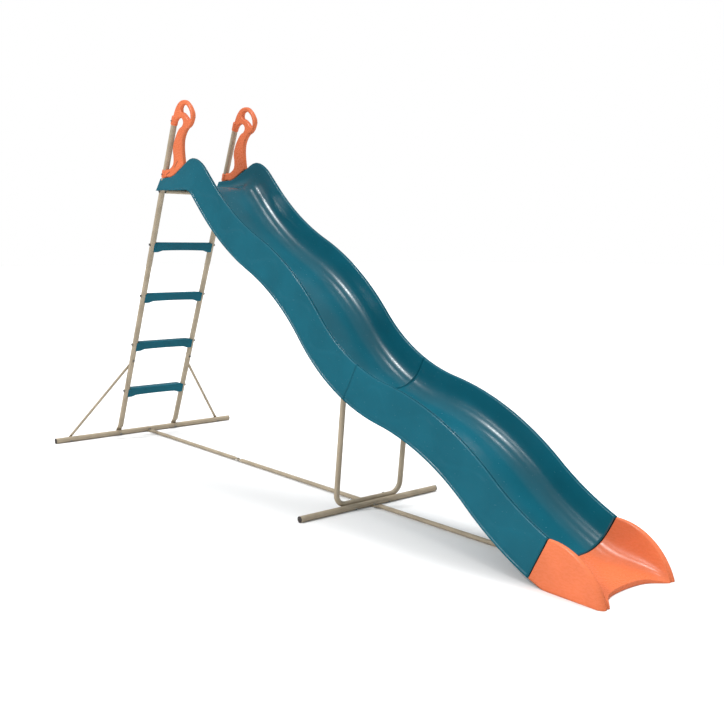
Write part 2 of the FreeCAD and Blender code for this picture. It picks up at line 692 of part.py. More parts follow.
def handle_screw_lines(side):
    """Screws from outside through the sleeve and the ring into the rail."""
    lines = []
    outside = RAIL_RADIUS + SLEEVE_CLEARANCE + SLEEVE_WALL
    for rise in ((SLEEVE_LOW + RAIL_TOP_ABOVE_DECK - DECK_WALL) / 2, RING_HIGH / 2):
        axis = rail_point(DECK_Z + DECK_WALL + rise, side)
        lines.append((axis + V(0, side * outside, 0), axis + V(0, side * RAIL_RADIUS / 2, 0)))
    return lines


# ---------------------------------------------------------------- ladder
def foot_bar(centre, radius, length):
    """Straight tube on the ground across the slide, without its end plugs."""
    half = V(0, length / 2 - PLUG_CAP, 0)
    return pipe(centre - half, centre + half, radius, TUBE_WALL)


def end_plugs(centre, radius, length):
    """Two end plugs, each a stem in the tube and a cap over its end."""
    plugs = []
    for side in SIDES.values():
        tube_end = centre + V(0, side * (length / 2 - PLUG_CAP), 0)
        stem = cylinder(tube_end - V(0, side * PLUG_DEPTH, 0), tube_end, radius - TUBE_WALL)
        cap = cylinder(tube_end, tube_end + V(0, side * PLUG_CAP, 0), radius)
        plugs.append(stem.fuse(cap))
    return plugs


def rail_foot_line(side):
    """Bolt from the front of the foot bar through the flattened end of the rail behind it."""
    centre = LADDER_BAR + V(0, side * RAIL_HALF, 0)
    return centre + RAIL_FRONT * RAIL_RADIUS, centre - RAIL_FRONT * (RAIL_RADIUS + 2 * PINCH)


def rail_joint_line(side):
    centre = rail_point(RAIL_JOINT_Z + SPIGOT_LENGTH * 0.4, side)
    return centre + RAIL_FRONT * RAIL_RADIUS, centre - RAIL_FRONT * RAIL_RADIUS


def brace_foot_line(side):
    centre = LADDER_BAR + V(0, side * BRACE_FOOT_HALF, 0)
    return centre + RAIL_FRONT * RAIL_RADIUS, centre - RAIL_FRONT * (RAIL_RADIUS + 2 * THIN_PINCH)


def brace_top_line(side):
    """Screw through the brace's flattened top into the back of the rail."""
    centre = rail_point(BRACE_TOP_Z, side)
    return centre - RAIL_FRONT * (RAIL_RADIUS + 2 * THIN_PINCH), centre - RAIL_FRONT * RAIL_RADIUS / 2


def ladder_foot_bar():
    bar = foot_bar(LADDER_BAR, RAIL_RADIUS, FOOT_BAR_LENGTH)
    for side in SIDES.values():
        start, end = rail_foot_line(side)
        bar = bar.cut(hole(start + RAIL_FRONT, end, BOLT_RADIUS))
        start, end = brace_foot_line(side)
        bar = bar.cut(hole(start + RAIL_FRONT, end, SMALL_BOLT_RADIUS))
    start, end = ladder_tie_line()
    return bar.cut(hole(start, end - V(1, 0, 0), BOLT_RADIUS))


def rail_lower(side):
    """Lower rail tube: flattened foot behind the foot bar, and a spigot at its upper end."""
    centre = LADDER_BAR + V(0, side * RAIL_HALF, 0)
    bolt_point = centre - RAIL_FRONT * (RAIL_RADIUS + PINCH)
    foot, start = flattened_end(bolt_point, RAIL_AXIS, RAIL_FRONT, RAIL_RADIUS, PINCH,
                                RAIL_FOOT_REACH, RAIL_RADIUS - PINCH)
    tube = pipe(start, rail_point(RAIL_JOINT_Z, side), RAIL_RADIUS, TUBE_WALL)
    spigot = pipe(rail_point(RAIL_JOINT_Z - RAIL_RADIUS, side),
                  rail_point(RAIL_JOINT_Z + SPIGOT_LENGTH, side), RAIL_RADIUS - TUBE_WALL, TUBE_WALL)
    rail = foot.fuse(tube).fuse(spigot)
    begin, end = rail_foot_line(side)
    rail = rail.cut(hole(begin, end - RAIL_FRONT, BOLT_RADIUS))
    begin, end = rail_joint_line(side)
    rail = rail.cut(hole(begin, end, BOLT_RADIUS))
    begin, end = brace_top_line(side)
    rail = rail.cut(cylinder(begin, end, SMALL_BOLT_RADIUS))
    return cut_rod_holes(rail, side)


def rail_upper(side):
    """Upper rail tube, from the joint to inside the handle's sleeve."""
    rail = pipe(rail_point(RAIL_JOINT_Z, side), rail_point(DECK_Z + RAIL_TOP_ABOVE_DECK, side),
                RAIL_RADIUS, TUBE_WALL)
    begin, end = rail_joint_line(side)
    rail = rail.cut(hole(begin, end, BOLT_RADIUS))
    for begin, end in handle_screw_lines(side):
        rail = rail.cut(cylinder(begin, end, HANDLE_SCREW_RADIUS))
    return cut_rod_holes(rail, side)


def cut_rod_holes(rail, side):
    """Holes across a rail for the rods of the steps and of the deck."""
    for axis in rod_centres():
        middle = V(axis.x, side * RAIL_HALF, axis.z)
        reach = V(0, 2 * RAIL_RADIUS, 0)
        rail = rail.cut(hole(middle - reach, middle + reach, BOLT_RADIUS))
    return rail


def brace(side):
    """Thin tube from the foot bar up to the rail, flattened and bolted at both ends."""
    foot = LADDER_BAR + V(0, side * BRACE_FOOT_HALF, 0) - RAIL_FRONT * (RAIL_RADIUS + THIN_PINCH)
    head = rail_point(BRACE_TOP_Z, side) - RAIL_FRONT * (RAIL_RADIUS + THIN_PINCH)
    along = (head - foot).normalize()
    square = (RAIL_FRONT - along * RAIL_FRONT.dot(along)).normalize()
    low, start = flattened_end(foot, along, square, BRACE_RADIUS, THIN_PINCH, 2 * BRACE_RADIUS, 0)
    high, end = flattened_end(head, -along, square, BRACE_RADIUS, THIN_PINCH, 2 * BRACE_RADIUS, 0)
    tube = low.fuse(high).fuse(pipe(start, end, BRACE_RADIUS, TUBE_WALL))
    for begin, finish in (brace_foot_line(side), brace_top_line(side)):
        over = (finish - begin).normalize() * 5
        tube = tube.cut(hole(begin - over, finish + over, SMALL_BOLT_RADIUS))
    return tube


def rung_centre(top):
    """Middle of the rung tube under a step."""
    z = top - STEP_THICK - RUNG_RADIUS
    return V(rail_point(z, 0).x, 0, z)


def crossbar_centre():
    """Middle of the bar under the deck."""
    z = DECK_Z - WALL - CROSSBAR_RADIUS
    return V(rail_point(z, 0).x, 0, z)


def rod_centres():
    return [rung_centre(top) for top in STEP_TOPS] + [crossbar_centre()]


def step_profile(top, inset):
    """Side view of a step: level tread, front skirt along the rails and a short rear skirt."""
    front = RAIL_RADIUS + STEP_LAP + STEP_THICK - inset
    nose = rail_point(top - inset, 0) + V(front / RAIL_AXIS.z, 0, 0)
    skirt = nose - RAIL_AXIS * (STEP_SKIRT / RAIL_AXIS.z)
    rear = nose - V(STEP_DEPTH - 2 * inset, 0, 0)
    low = rear - V(0, 0, STEP_REAR_SKIRT)
    if inset:
        skirt = skirt - RAIL_AXIS * STEP_SKIRT
        low = low - V(0, 0, STEP_SKIRT)
    return rounded_face([nose, skirt, low, rear], [6 - inset, 0, 0, 6 - inset])


def step(top):
    """Moulded step, open below, with an arched front skirt that laps the rails."""
    inside = RAIL_HALF - RAIL_RADIUS - 0.5
    outer = block(step_profile(top, 0), inside)
    inner = block(step_profile(top, STEP_THICK), inside - STEP_THICK)
    body = outer.cut(inner)
    slab = block(step_profile(top, 0), STEP_HALF)
    ahead = RAIL_FRONT * (RAIL_RADIUS + STEP_LAP)
    start = rail_point(top + STEP_SKIRT, 0) + ahead
    end = rail_point(top - 2 * STEP_SKIRT, 0) + ahead
    band = Part.Face(Part.makePolygon([start, end, end + RAIL_FRONT * STEP_DEPTH,
                                       start + RAIL_FRONT * STEP_DEPTH, start]))
    body = body.fuse(slab.common(block(band, STEP_HALF)))
    low = top - STEP_SKIRT
    span = STEP_HALF - 3 * STEP_LAP - RAIL_RADIUS
    arch = Part.Arc(V(0, -span, low), V(0, 0, low + STEP_ARCH), V(0, span, low)).toShape()
    base = Part.makePolygon([V(0, span, low), V(0, span, low - 5), V(0, -span, low - 5), V(0, -span, low)])
    cutter = Part.Face(Part.Wire([arch] + base.Edges))
    cutter.translate(V(rail_point(low, 0).x - STEP_DEPTH, 0, 0))
    body = body.cut(cutter.extrude(V(3 * STEP_DEPTH, 0, 0)))
    axis = rung_centre(top)
    reach = V(0, STEP_HALF, 0)
    return body.cut(hole(axis - reach, axis + reach, BOLT_RADIUS))


def cross_tube(axis, radius):
    """Tube between the rails."""
    half = V(0, RAIL_HALF - RAIL_RADIUS - 5, 0)
    return pipe(axis - half, axis + half, radius, TUBE_WALL)


def rod_half(nut_height):
    return RAIL_HALF + RAIL_RADIUS + nut_height + 0.5


def rod(axis, nut_height):
    """Threaded rod through both rails."""
    half = V(0, rod_half(nut_height), 0)
    return cylinder(axis - half, axis + half, BOLT_RADIUS)


def rod_nuts(axis, nut_height):
    """Nuts at both ends of a rod, outside the rails."""
    nuts = []
    for side in SIDES.values():
        start = axis + V(0, side * (RAIL_HALF + RAIL_RADIUS), 0)
        body = hexagon(start, V(0, side, 0), 3.25 * BOLT_RADIUS, nut_height)
        nuts.append(body.cut(rod(axis, nut_height)))
    return nuts


def deck_screw_lines():
    """Screws from the deck down into the bar under it."""
    axis = crossbar_centre()
    lines = []
    for side in SIDES.values():
        start = V(axis.x, side * DECK_SCREW_HALF, DECK_Z)
        lines.append((start, start - V(0, 0, WALL + CROSSBAR_RADIUS - BOLT_RADIUS - 1)))
    return lines


def deck_crossbar():
    bar = cross_tube(crossbar_centre(), CROSSBAR_RADIUS)
    for start, end in deck_screw_lines():
        bar = bar.cut(cylinder(start, end, SMALL_BOLT_RADIUS))
    return bar


# ---------------------------------------------------------------- support hoop and tie bars
def support_hoop():
    """Tube bent down, across and up again, with its legs inside the chute's double wall."""
    corners = [HOOP_FOOT + V(0, side * HOOP_HALF, 0) for side in (-1, 1)]
    tops = [hoop_leg_top(-1), hoop_leg_top(1)]
    path = Part.Wire(rounded_edges([tops[0], corners[0], corners[1], tops[1]],
                                   [0, HOOP_BEND, HOOP_BEND, 0], False))
    solids = []
    for radius in (HOOP_RADIUS, HOOP_RADIUS - TUBE_WALL):
        ring = Part.Wire([Part.makeCircle(radius, tops[0], HOOP_AXIS)])
        solids.append(path.makePipeShell([ring], True, False))
    hoop = solids[0].cut(solids[1])
    for start, end in hoop_foot_lines():
        hoop = hoop.cut(hole(start, end - HOOP_TO_BAR, SMALL_BOLT_RADIUS))
    for side in SIDES.values():
        head, tip = hoop_leg_line(side)
        hoop = hoop.cut(hole(head - V(0, side, 0), tip, SMALL_BOLT_RADIUS))
    return hoop


def hoop_foot_lines():
    """Bolts from the front of the foot bar through the hoop."""
    lines = []
    for side in SIDES.values():
        across = V(0, side * HOOP_BOLT_HALF, 0)
        lines.append((SUPPORT_BAR + HOOP_TO_BAR * SUPPORT_BAR_RADIUS + across,
                      HOOP_FOOT - HOOP_TO_BAR * HOOP_RADIUS + across))
    return lines


def hoop_leg_line(side):
    """Screw from inside a leg out into the boss of the chute."""
    centre = hoop_leg_top(side) - HOOP_AXIS * HOOP_SCREW_DOWN
    return centre - V(0, side * HOOP_RADIUS, 0), centre + V(0, side * (SCREW_REACH - 0.5), 0)


def support_foot_bar():
    bar = foot_bar(SUPPORT_BAR, SUPPORT_BAR_RADIUS, SUPPORT_BAR_LENGTH)
    for start, end in hoop_foot_lines():
        bar = bar.cut(hole(start + HOOP_TO_BAR, end, SMALL_BOLT_RADIUS))
    start, end = support_tie_line()
    return bar.cut(hole(start, end, SMALL_BOLT_RADIUS))


def ladder_tie_line():
    """Bolt through the rear tie bar's upright lug and the ladder foot bar."""
    start = LADDER_BAR + V(RAIL_RADIUS + 2 * THIN_PINCH, 0, 0)
    return start, LADDER_BAR - V(RAIL_RADIUS, 0, 0)


def support_tie_line():
    """Bolt through both lugs beside the support foot bar."""
    reach = SUPPORT_BAR_RADIUS + 2 * THIN_PINCH
    return V(SUPPORT_X + reach, 0, SUPPORT_LUG_Z), V(SUPPORT_X - reach, 0, SUPPORT_LUG_Z)


def tie_joint_line():
    """Upright bolt through the lapped ends of the rear and middle tie bars."""
    x = LADDER_X + TIE_JOINT_SHARE * SUPPORT_REACH
    return V(x, 0, TIE_Z + 2 * THIN_PINCH), V(x, 0, TIE_Z - 2 * THIN_PINCH)


def lug_end(face_x, towards, top, bolt_z, bolt_radius):
    """Tie bar's end beside a foot bar: upright lug, low flat and taper up to the tube."""
    half_width = FLAT_WIDENING * TIE_RADIUS
    low = TIE_FOOT_Z - THIN_PINCH
    lug = Part.makeBox(2 * THIN_PINCH, 2 * half_width, top - low, V(0, -half_width, low))
    lug.translate(V(face_x if towards > 0 else face_x - 2 * THIN_PINCH, 0, 0))
    along = V(towards, 0, 0)
    root = V(face_x, 0, TIE_FOOT_Z) + along * LUG_FLAT
    section = oval(V(face_x, 0, TIE_FOOT_Z), along, V(0, 1, 0), half_width, THIN_PINCH)
    flat = Part.Face(section).extrude(along * LUG_FLAT)
    tube_start = V(root.x, 0, TIE_Z) + along * 2 * TAPER * TIE_RADIUS
    cone = Part.makeLoft([oval(root, along, V(0, 1, 0), half_width, THIN_PINCH),
                          oval(tube_start, along, V(0, 1, 0), TIE_RADIUS, TIE_RADIUS)], True, True)
    end = lug.fuse(flat).fuse(cone)
    middle = V(face_x, 0, bolt_z)
    return end.cut(hole(middle - along * 3 * THIN_PINCH, middle + along * 3 * THIN_PINCH, bolt_radius)), tube_start


def tie_bar_rear():
    low, start = lug_end(LADDER_X + RAIL_RADIUS, 1, 1.6 * RAIL_RADIUS, RAIL_RADIUS, BOLT_RADIUS)
    bolt_top, bolt_low = tie_joint_line()
    lap = V(bolt_top.x, 0, TIE_Z + THIN_PINCH)
    high, end = flattened_end(lap, V(-1, 0, 0), V(0, 0, 1), TIE_RADIUS, THIN_PINCH, 2 * TIE_RADIUS, -THIN_PINCH)
    bar = low.fuse(high).fuse(pipe(start, end, TIE_RADIUS, TUBE_WALL))
    return bar.cut(hole(bolt_top, bolt_low, SMALL_BOLT_RADIUS))


def tie_bar_middle():
    bolt_top, bolt_low = tie_joint_line()
    lap = V(bolt_top.x, 0, TIE_Z - THIN_PINCH)
    low, start = flattened_end(lap, V(1, 0, 0), V(0, 0, 1), TIE_RADIUS, THIN_PINCH, 2 * TIE_RADIUS, THIN_PINCH)
    high, end = lug_end(SUPPORT_X - SUPPORT_BAR_RADIUS, -1, SUPPORT_LUG_TOP, SUPPORT_LUG_Z, SMALL_BOLT_RADIUS)
    bar = low.fuse(high).fuse(pipe(start, end, TIE_RADIUS, TUBE_WALL))
    return bar.cut(hole(bolt_top, bolt_low - V(0, 0, 1), SMALL_BOLT_RADIUS))


def tie_bar_front():
    low, start = lug_end(SUPPORT_X + SUPPORT_BAR_RADIUS, 1, SUPPORT_LUG_TOP, SUPPORT_LUG_Z, SMALL_BOLT_RADIUS)
    point = anchor_point()
    lap = point - V(0, 0, THIN_PINCH)
    high, end = flattened_end(lap, V(-1, 0, 0), V(0, 0, 1), TIE_RADIUS, THIN_PINCH, 2 * TIE_RADIUS, 0)
    bar = low.fuse(high).fuse(pipe(start, end, TIE_RADIUS, TUBE_WALL))
    return bar.cut(hole(point + V(0, 0, 1), point - V(0, 0, 5), SMALL_BOLT_RADIUS))


# ---------------------------------------------------------------- fasteners
def pan_screw(start, end, radius):
    """Round-headed screw whose head bears at start."""
    axis = (end - start).normalize()
    head = cylinder(start - axis * 0.8 * radius, start, 1.7 * radius)
    return head.fuse(cylinder(start - axis * 0.1, end, radius))


def flange_lines(origin, heading):
    return [flange_bolt_line(origin, heading, y) for y in (-FLANGE_BOLT_HALF, 0, FLANGE_BOLT_HALF)]


def bolts(lines, radius):
    return [bolt(start, end, radius) for start, end in lines]


def nuts(lines, radius):
    return [nut(end, end - start, radius) for start, end in lines]


def fasteners():
    """Every group of bolts, nuts and screws, by node name."""
    sides = SIDES.values()
    foot = [rail_foot_line(side) for side in sides]
    joint = [rail_joint_line(side) for side in sides]
    brace_foot = [brace_foot_line(side) for side in sides]
    chute = flange_lines(JOINT, JOINT_HEADING)
    run_out = flange_lines(EXIT_JOINT, EXIT_HEADING)
    hoop = hoop_foot_lines()
    anchor = anchor_point()
    anchor_line = (anchor - V(0, 0, 2 * THIN_PINCH), anchor + V(0, 0, ANCHOR_BOLT_DEPTH - 1))
    return {
        "rail_foot_bolts": bolts(foot, BOLT_RADIUS),
        "rail_foot_nuts": nuts(foot, BOLT_RADIUS),
        "rail_joint_bolts": bolts(joint, BOLT_RADIUS),
        "rail_joint_nuts": nuts(joint, BOLT_RADIUS),
        "brace_foot_bolts": bolts(brace_foot, SMALL_BOLT_RADIUS),
        "brace_foot_nuts": nuts(brace_foot, SMALL_BOLT_RADIUS),
        "brace_top_screws": [pan_screw(*brace_top_line(side), SMALL_BOLT_RADIUS) for side in sides],
        "chute_joint_bolts": bolts(chute, SMALL_BOLT_RADIUS),
        "chute_joint_nuts": nuts(chute, SMALL_BOLT_RADIUS),
        "exit_joint_bolts": bolts(run_out, SMALL_BOLT_RADIUS),
        "exit_joint_nuts": nuts(run_out, SMALL_BOLT_RADIUS),
        "hoop_foot_bolts": [pan_screw(start, end - HOOP_TO_BAR * BOLT_TAIL * SMALL_BOLT_RADIUS, SMALL_BOLT_RADIUS)
                            for start, end in hoop],
        "hoop_foot_nuts": nuts(hoop, SMALL_BOLT_RADIUS),
        "hoop_leg_screws": [pan_screw(*hoop_leg_line(side), SMALL_BOLT_RADIUS) for side in sides],
        "ladder_tie_bolt": bolts([ladder_tie_line()], BOLT_RADIUS),
        "ladder_tie_nut": nuts([ladder_tie_line()], BOLT_RADIUS),
        "support_tie_bolt": bolts([support_tie_line()], SMALL_BOLT_RADIUS),
        "support_tie_nut": nuts([support_tie_line()], SMALL_BOLT_RADIUS),
        "tie_joint_bolt": bolts([tie_joint_line()], SMALL_BOLT_RADIUS),
        "tie_joint_nut": nuts([tie_joint_line()], SMALL_BOLT_RADIUS),
        "exit_anchor_screw": [pan_screw(*anchor_line, SMALL_BOLT_RADIUS)],
        "handle_screws": [pan_screw(start, end, HANDLE_SCREW_RADIUS)
                          for side in sides for start, end in handle_screw_lines(side)],
        "deck_screws": [pan_screw(start, end, SMALL_BOLT_RADIUS) for start, end in deck_screw_lines()],
        "step_rod_nuts": [piece for top in STEP_TOPS
                          for piece in rod_nuts(rung_centre(top), 1.5 * BOLT_RADIUS)],
        "deck_rod_nuts": rod_nuts(crossbar_centre(), LOW_NUT),
    }


# ---------------------------------------------------------------- all nodes
def all_parts():
    """Every node's solids, by node name."""
    parts = {
        "upper_chute": [upper_chute()],
        "lower_chute": [lower_chute()],
        "exit_section": [exit_section()],
        "ladder_foot_bar": [ladder_foot_bar()],
        "ladder_foot_bar_plugs": end_plugs(LADDER_BAR, RAIL_RADIUS, FOOT_BAR_LENGTH),
        "support_hoop": [support_hoop()],
        "support_foot_bar": [support_foot_bar()],
        "support_foot_bar_plugs": end_plugs(SUPPORT_BAR, SUPPORT_BAR_RADIUS, SUPPORT_BAR_LENGTH),
        "tie_bar_rear": [tie_bar_rear()],
        "tie_bar_middle": [tie_bar_middle()],
        "tie_bar_front": [tie_bar_front()],
        "deck_crossbar": [deck_crossbar()],
        "deck_rod": [rod(crossbar_centre(), LOW_NUT)],
        "step_rods": [rod(rung_centre(top), 1.5 * BOLT_RADIUS) for top in STEP_TOPS],
    }
    for name, side in SIDES.items():
        parts["ladder_rail_lower_" + name] = [rail_lower(side)]
        parts["ladder_rail_upper_" + name] = [rail_upper(side)]
        parts["ladder_brace_" + name] = [brace(side)]
        parts["handle_" + name] = [handle(side)]
    for number, top in enumerate(STEP_TOPS, 1):
        parts["step_%d" % number] = [step(top)]
        parts["step_rung_%d" % number] = [cross_tube(rung_centre(top), RUNG_RADIUS)]
    parts.update(fasteners())
    return parts


def main():
    os.makedirs("parts", exist_ok=True)
    for name, solids in all_parts().items():
        shape = solids[0] if len(solids) == 1 else Part.makeCompound(solids)
        shape.exportStep("parts/" + name + ".step")


main()
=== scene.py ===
"""Wave slide with a ladder: the visible shapes and finishes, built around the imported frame.

The file is laid out as an add-on and run as a script. Each operator models one piece or one group
of like pieces, in metres, in the frame's own axes: +X towards the exit, +Z up, ground at Z = 0.
"""
import json
import math
import bmesh
import bpy
from bpy.props import FloatProperty, FloatVectorProperty, PointerProperty
from mathutils import Matrix, Vector


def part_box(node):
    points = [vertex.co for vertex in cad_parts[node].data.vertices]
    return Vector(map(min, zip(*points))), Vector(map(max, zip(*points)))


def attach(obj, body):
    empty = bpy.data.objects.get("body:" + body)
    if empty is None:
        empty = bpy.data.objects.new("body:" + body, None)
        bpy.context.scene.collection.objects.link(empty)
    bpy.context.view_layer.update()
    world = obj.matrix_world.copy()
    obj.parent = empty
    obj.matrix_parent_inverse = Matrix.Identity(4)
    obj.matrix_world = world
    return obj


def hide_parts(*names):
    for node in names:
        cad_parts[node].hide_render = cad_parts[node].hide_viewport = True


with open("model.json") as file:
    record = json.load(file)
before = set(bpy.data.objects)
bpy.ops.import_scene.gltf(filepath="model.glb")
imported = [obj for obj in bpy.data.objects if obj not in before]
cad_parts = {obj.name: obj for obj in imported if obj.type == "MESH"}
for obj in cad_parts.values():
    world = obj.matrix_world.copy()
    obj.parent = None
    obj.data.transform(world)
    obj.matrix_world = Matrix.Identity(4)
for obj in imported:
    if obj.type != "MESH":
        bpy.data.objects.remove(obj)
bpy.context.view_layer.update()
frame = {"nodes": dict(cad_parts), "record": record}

bl_info = {
    "name": "Wave slide",
    "version": (1, 0, 0),
    "blender": (4, 5, 0),
    "location": "3D View > Sidebar > Wave slide",
    "description": "Models the moulded pieces, finishes and studio of a garden wave slide",
    "category": "Add Mesh",
}

SIDES = {"left": 1.0, "right": -1.0}
ACROSS = Vector((0.0, 1.0, 0.0))
UP = Vector((0.0, 0.0, 1.0))


# ---- fixed sizes, in metres
RAIL_LEAN = math.radians(24.2)
GROUND_CLEARANCE = 0.0004
FLANGE_SIZE = (0.0036, 0.250, 0.024)
FLANGE_OFFSET, FLANGE_DROP = 0.0021, 0.0140
TONGUE_CLEARANCE, TONGUE_REACH, TONGUE_WALL = 0.0008, 0.012, 0.0015
EXIT_ROWS = 15
STEP_DEPTH, STEP_REAR, STEP_STRIPS = 0.082, 0.030, 46
SLEEVES = ((0.276, 0.322, 0.006), (0.003, 0.044, 0.004))  # low and high rise, rounding
# Name, setting, spread in degrees and where the light comes from
SUNS = (
    ("Key", "key", 24.0, (-0.10, 0.28, 0.95)),
    ("Corner light", "corner", 6.0, (-0.20, -0.66, 0.72)),
    ("Floor light", "floor", 9.0, (-0.03, -0.23, 0.97)),
    ("Side light", "side", 16.0, (-0.28, -0.86, 0.39)),
)


# ---- settings
def metres(name, description, default, **limits):
    """Setting that is a length."""
    return FloatProperty(name=name, description=description, default=default, unit="LENGTH", **limits)


def amount(name, description, default, **limits):
    """Setting that is a plain number."""
    return FloatProperty(name=name, description=description, default=default, **limits)


def bend(name, heading, radius):
    """Setting that holds the heading where a bend ends, and its radius."""
    return FloatVectorProperty(name=name, description="Heading in degrees and radius in metres", size=2,
                               default=(heading, radius))


def tint(name, description, default):
    """Setting that is a colour."""
    return FloatVectorProperty(name=name, description=description, subtype="COLOR", size=3, min=0.0,
                               max=1.0, default=default)


class ChuteSettings(bpy.types.PropertyGroup):
    """Sizes of the moulded chute."""
    wall: metres("Wall", "Thickness of the moulded skin", 0.004, min=0.001)
    rim_half: metres("Rim half width", "Middle to the top of a skirt", 0.206)
    skirt_half: metres("Skirt half width", "Middle to the foot of a skirt", 0.220)
    channel_half: metres("Channel half width", "Half width at the rim", 0.190)
    floor_half: metres("Floor half width", "Half width where wall and floor meet", 0.180)
    depth: metres("Depth", "Rim above floor", 0.148)
    skirt_drop: metres("Skirt drop", "Skirt below floor", 0.025)
    corner: metres("Corner radius", "Between wall and floor", 0.090)
    rim_radius: metres("Rim radius", "Rounding of the rim", 0.0036)
    bead: metres("Bead", "Width of the rim's edges beside its groove", 0.0048)
    groove: metres("Groove", "Depth of the groove along the rim", 0.0045)
    joint_gap: metres("Joint gap", "Half of the gap between the chutes", 0.0006)
    lip: metres("Lip", "Bead along the foot of a skirt", 0.0025)
    pitch: metres("Pitch", "Length of one stretch of mesh", 0.012)
    relief: metres("Relief", "Height of the wavy panel on a skirt", 0.0030)
    relief_middle: metres("Relief middle", "Middle of the wave above the floor", 0.070)
    relief_swing: metres("Relief swing", "Wave above and below its middle", 0.048)
    relief_length: metres("Relief length", "Length of one wave", 0.3116)
    relief_start: metres("Relief start", "First trough from the crest", 0.418)
    relief_rise: amount("Relief rise", "Share of a wave that rises", 0.61, min=0.1, max=0.9)
    relief_blend: metres("Relief blend", "Width of the panel's edge", 0.010)


class DeckSettings(bpy.types.PropertyGroup):
    """Sizes of the deck end of the upper chute."""
    length: metres("Length", "Rails to crest along the floor", 0.308)
    wall: metres("Low wall", "Height of the low wall at the rails", 0.0555)
    rise_at_crest: metres("Rise at crest", "Height of the sloping rim at the crest", 0.1290)
    slope: amount("Slope", "Rise of the sloping rim per metre", 0.40)
    end_drop: metres("End drop", "Skirt below the floor at the rails", 0.010)
    overhang: metres("Overhang", "Deck behind the rail", 0.022)
    crest_radius: metres("Crest radius", "Floor's radius under the rim's top", 0.110)
    pocket_half: metres("Pocket half width", "Channel between the rails", 0.168)


class WaveSettings(bpy.types.PropertyGroup):
    """Slopes and radii of the floor line."""
    crest: bend("Crest", 44.3, 0.110)
    straight: metres("Straight", "Below the crest", 0.1128)
    hollow_1: bend("Hollow 1", 24.0, 1.573)
    hump_1: bend("Hump 1", 48.1, 1.263)
    joint: amount("Joint heading", "Slope where the chutes meet", 25.0)
    hollow_2: bend("Hollow 2", 11.0, 0.972)
    hump_2: bend("Hump 2", 39.5, 1.147)
    run_out: bend("Run-out", 24.5, 1.353)


class ExitSettings(bpy.types.PropertyGroup):
    """Sizes of the run-out between its fins."""
    length: metres("Length", "Joint to the tips", 0.305)
    floor: metres("Floor", "Level floor above the ground", 0.020)
    floor_radius: metres("Floor radius", "Hollow before the level floor", 0.310)
    fin_radius: metres("Fin radius", "Arc of a fin", 0.252)
    setback: metres("Setback", "Lip behind the tips", 0.066)
    outer_round: metres("Outer rounding", "Outside of a fin at its tip", 0.020)
    inner_round: metres("Inner rounding", "Inside of a fin at its tip", 0.026)
    lip: metres("Lip", "Height of the lip beside the fins", 0.008)
    heel: metres("Heel", "Ground contact in front of the joint", 0.055)
    seam: metres("Seam", "Gap at a joint", 0.0019)


class StepSettings(bpy.types.PropertyGroup):
    """Sizes of a moulded step."""
    half: metres("Half length", "Middle to the end of the front", 0.190)
    front: metres("Front", "Height of the front at its ends", 0.058)
    arch: metres("Arch", "Rise of the arch under the front", 0.013)
    foot: metres("Foot", "Length of the full-height ends", 0.030)
    thick: metres("Thickness", "Moulded wall", 0.004)


class HandleSettings(bpy.types.PropertyGroup):
    """Sizes of a loop handle."""
    half_thick: metres("Half thickness", "Middle plane to a face", 0.012)
    rounding: metres("Rounding", "Radius of the edges", 0.0085)
    sleeve: metres("Sleeve radius", "Outside of the sleeve round a rail", 0.0190)


class FinishSettings(bpy.types.PropertyGroup):
    """Colours of the finishes."""
    teal: tint("Teal plastic", "Chute and steps", (0.005, 0.106, 0.152))
    orange: tint("Orange plastic", "Handles and exit", (0.70, 0.170, 0.066))
    beige: tint("Beige paint", "Tubes", (0.40, 0.33, 0.235))
    zinc: tint("Zinc", "Bolts and nuts", (0.72, 0.72, 0.72))
    plug: tint("Plug plastic", "End plugs", (0.06, 0.05, 0.045))
    floor: tint("Floor", "Studio floor", (0.86, 0.86, 0.86))


class StudioSettings(bpy.types.PropertyGroup):
    """Camera and lights."""
    camera_reach: FloatVectorProperty(name="Camera", description="From the ladder foot bar's middle",
                                      size=3, default=(5.315, -2.6135, 1.1683), subtype="XYZ")
    azimuth: amount("Azimuth", "Camera's bearing in degrees", 50.174)
    elevation: amount("Elevation", "Camera's height angle in degrees", 7.082)
    lens: amount("Lens", "Focal length in millimetres", 44.65)
    sky: amount("Sky", "Strength of the even light overhead", 1.15)
    horizon: amount("Horizon", "Strength of the even light at the horizon", 0.35)
    shine: amount("Shine", "Share of the even light that shows in reflections", 0.35)
    key: amount("Key", "Strength of the key light", 1.7)
    corner: amount("Corner light", "Strength of the light in the channel's corner", 0.9)
    floor: amount("Floor light", "Strength of the light along the floor", 0.30)
    side: amount("Side light", "Strength of the light on the skirts", 0.55)


class SlideSettings(bpy.types.PropertyGroup):
    """All settings of the slide."""
    chute: PointerProperty(type=ChuteSettings)
    deck: PointerProperty(type=DeckSettings)
    wave: PointerProperty(type=WaveSettings)
    run_out: PointerProperty(type=ExitSettings)
    step: PointerProperty(type=StepSettings)
    handle: PointerProperty(type=HandleSettings)
    finish: PointerProperty(type=FinishSettings)
    studio: PointerProperty(type=StudioSettings)


# ---- the floor line
def forward(heading):
    """Unit vector down the chute at a heading in degrees."""
    angle = math.radians(heading)
    return Vector((math.cos(angle), 0.0, -math.sin(angle)))


def upward(heading):
    """Unit vector square to the floor at a heading in degrees."""
    angle = math.radians(heading)
    return Vector((math.sin(angle), 0.0, math.cos(angle)))


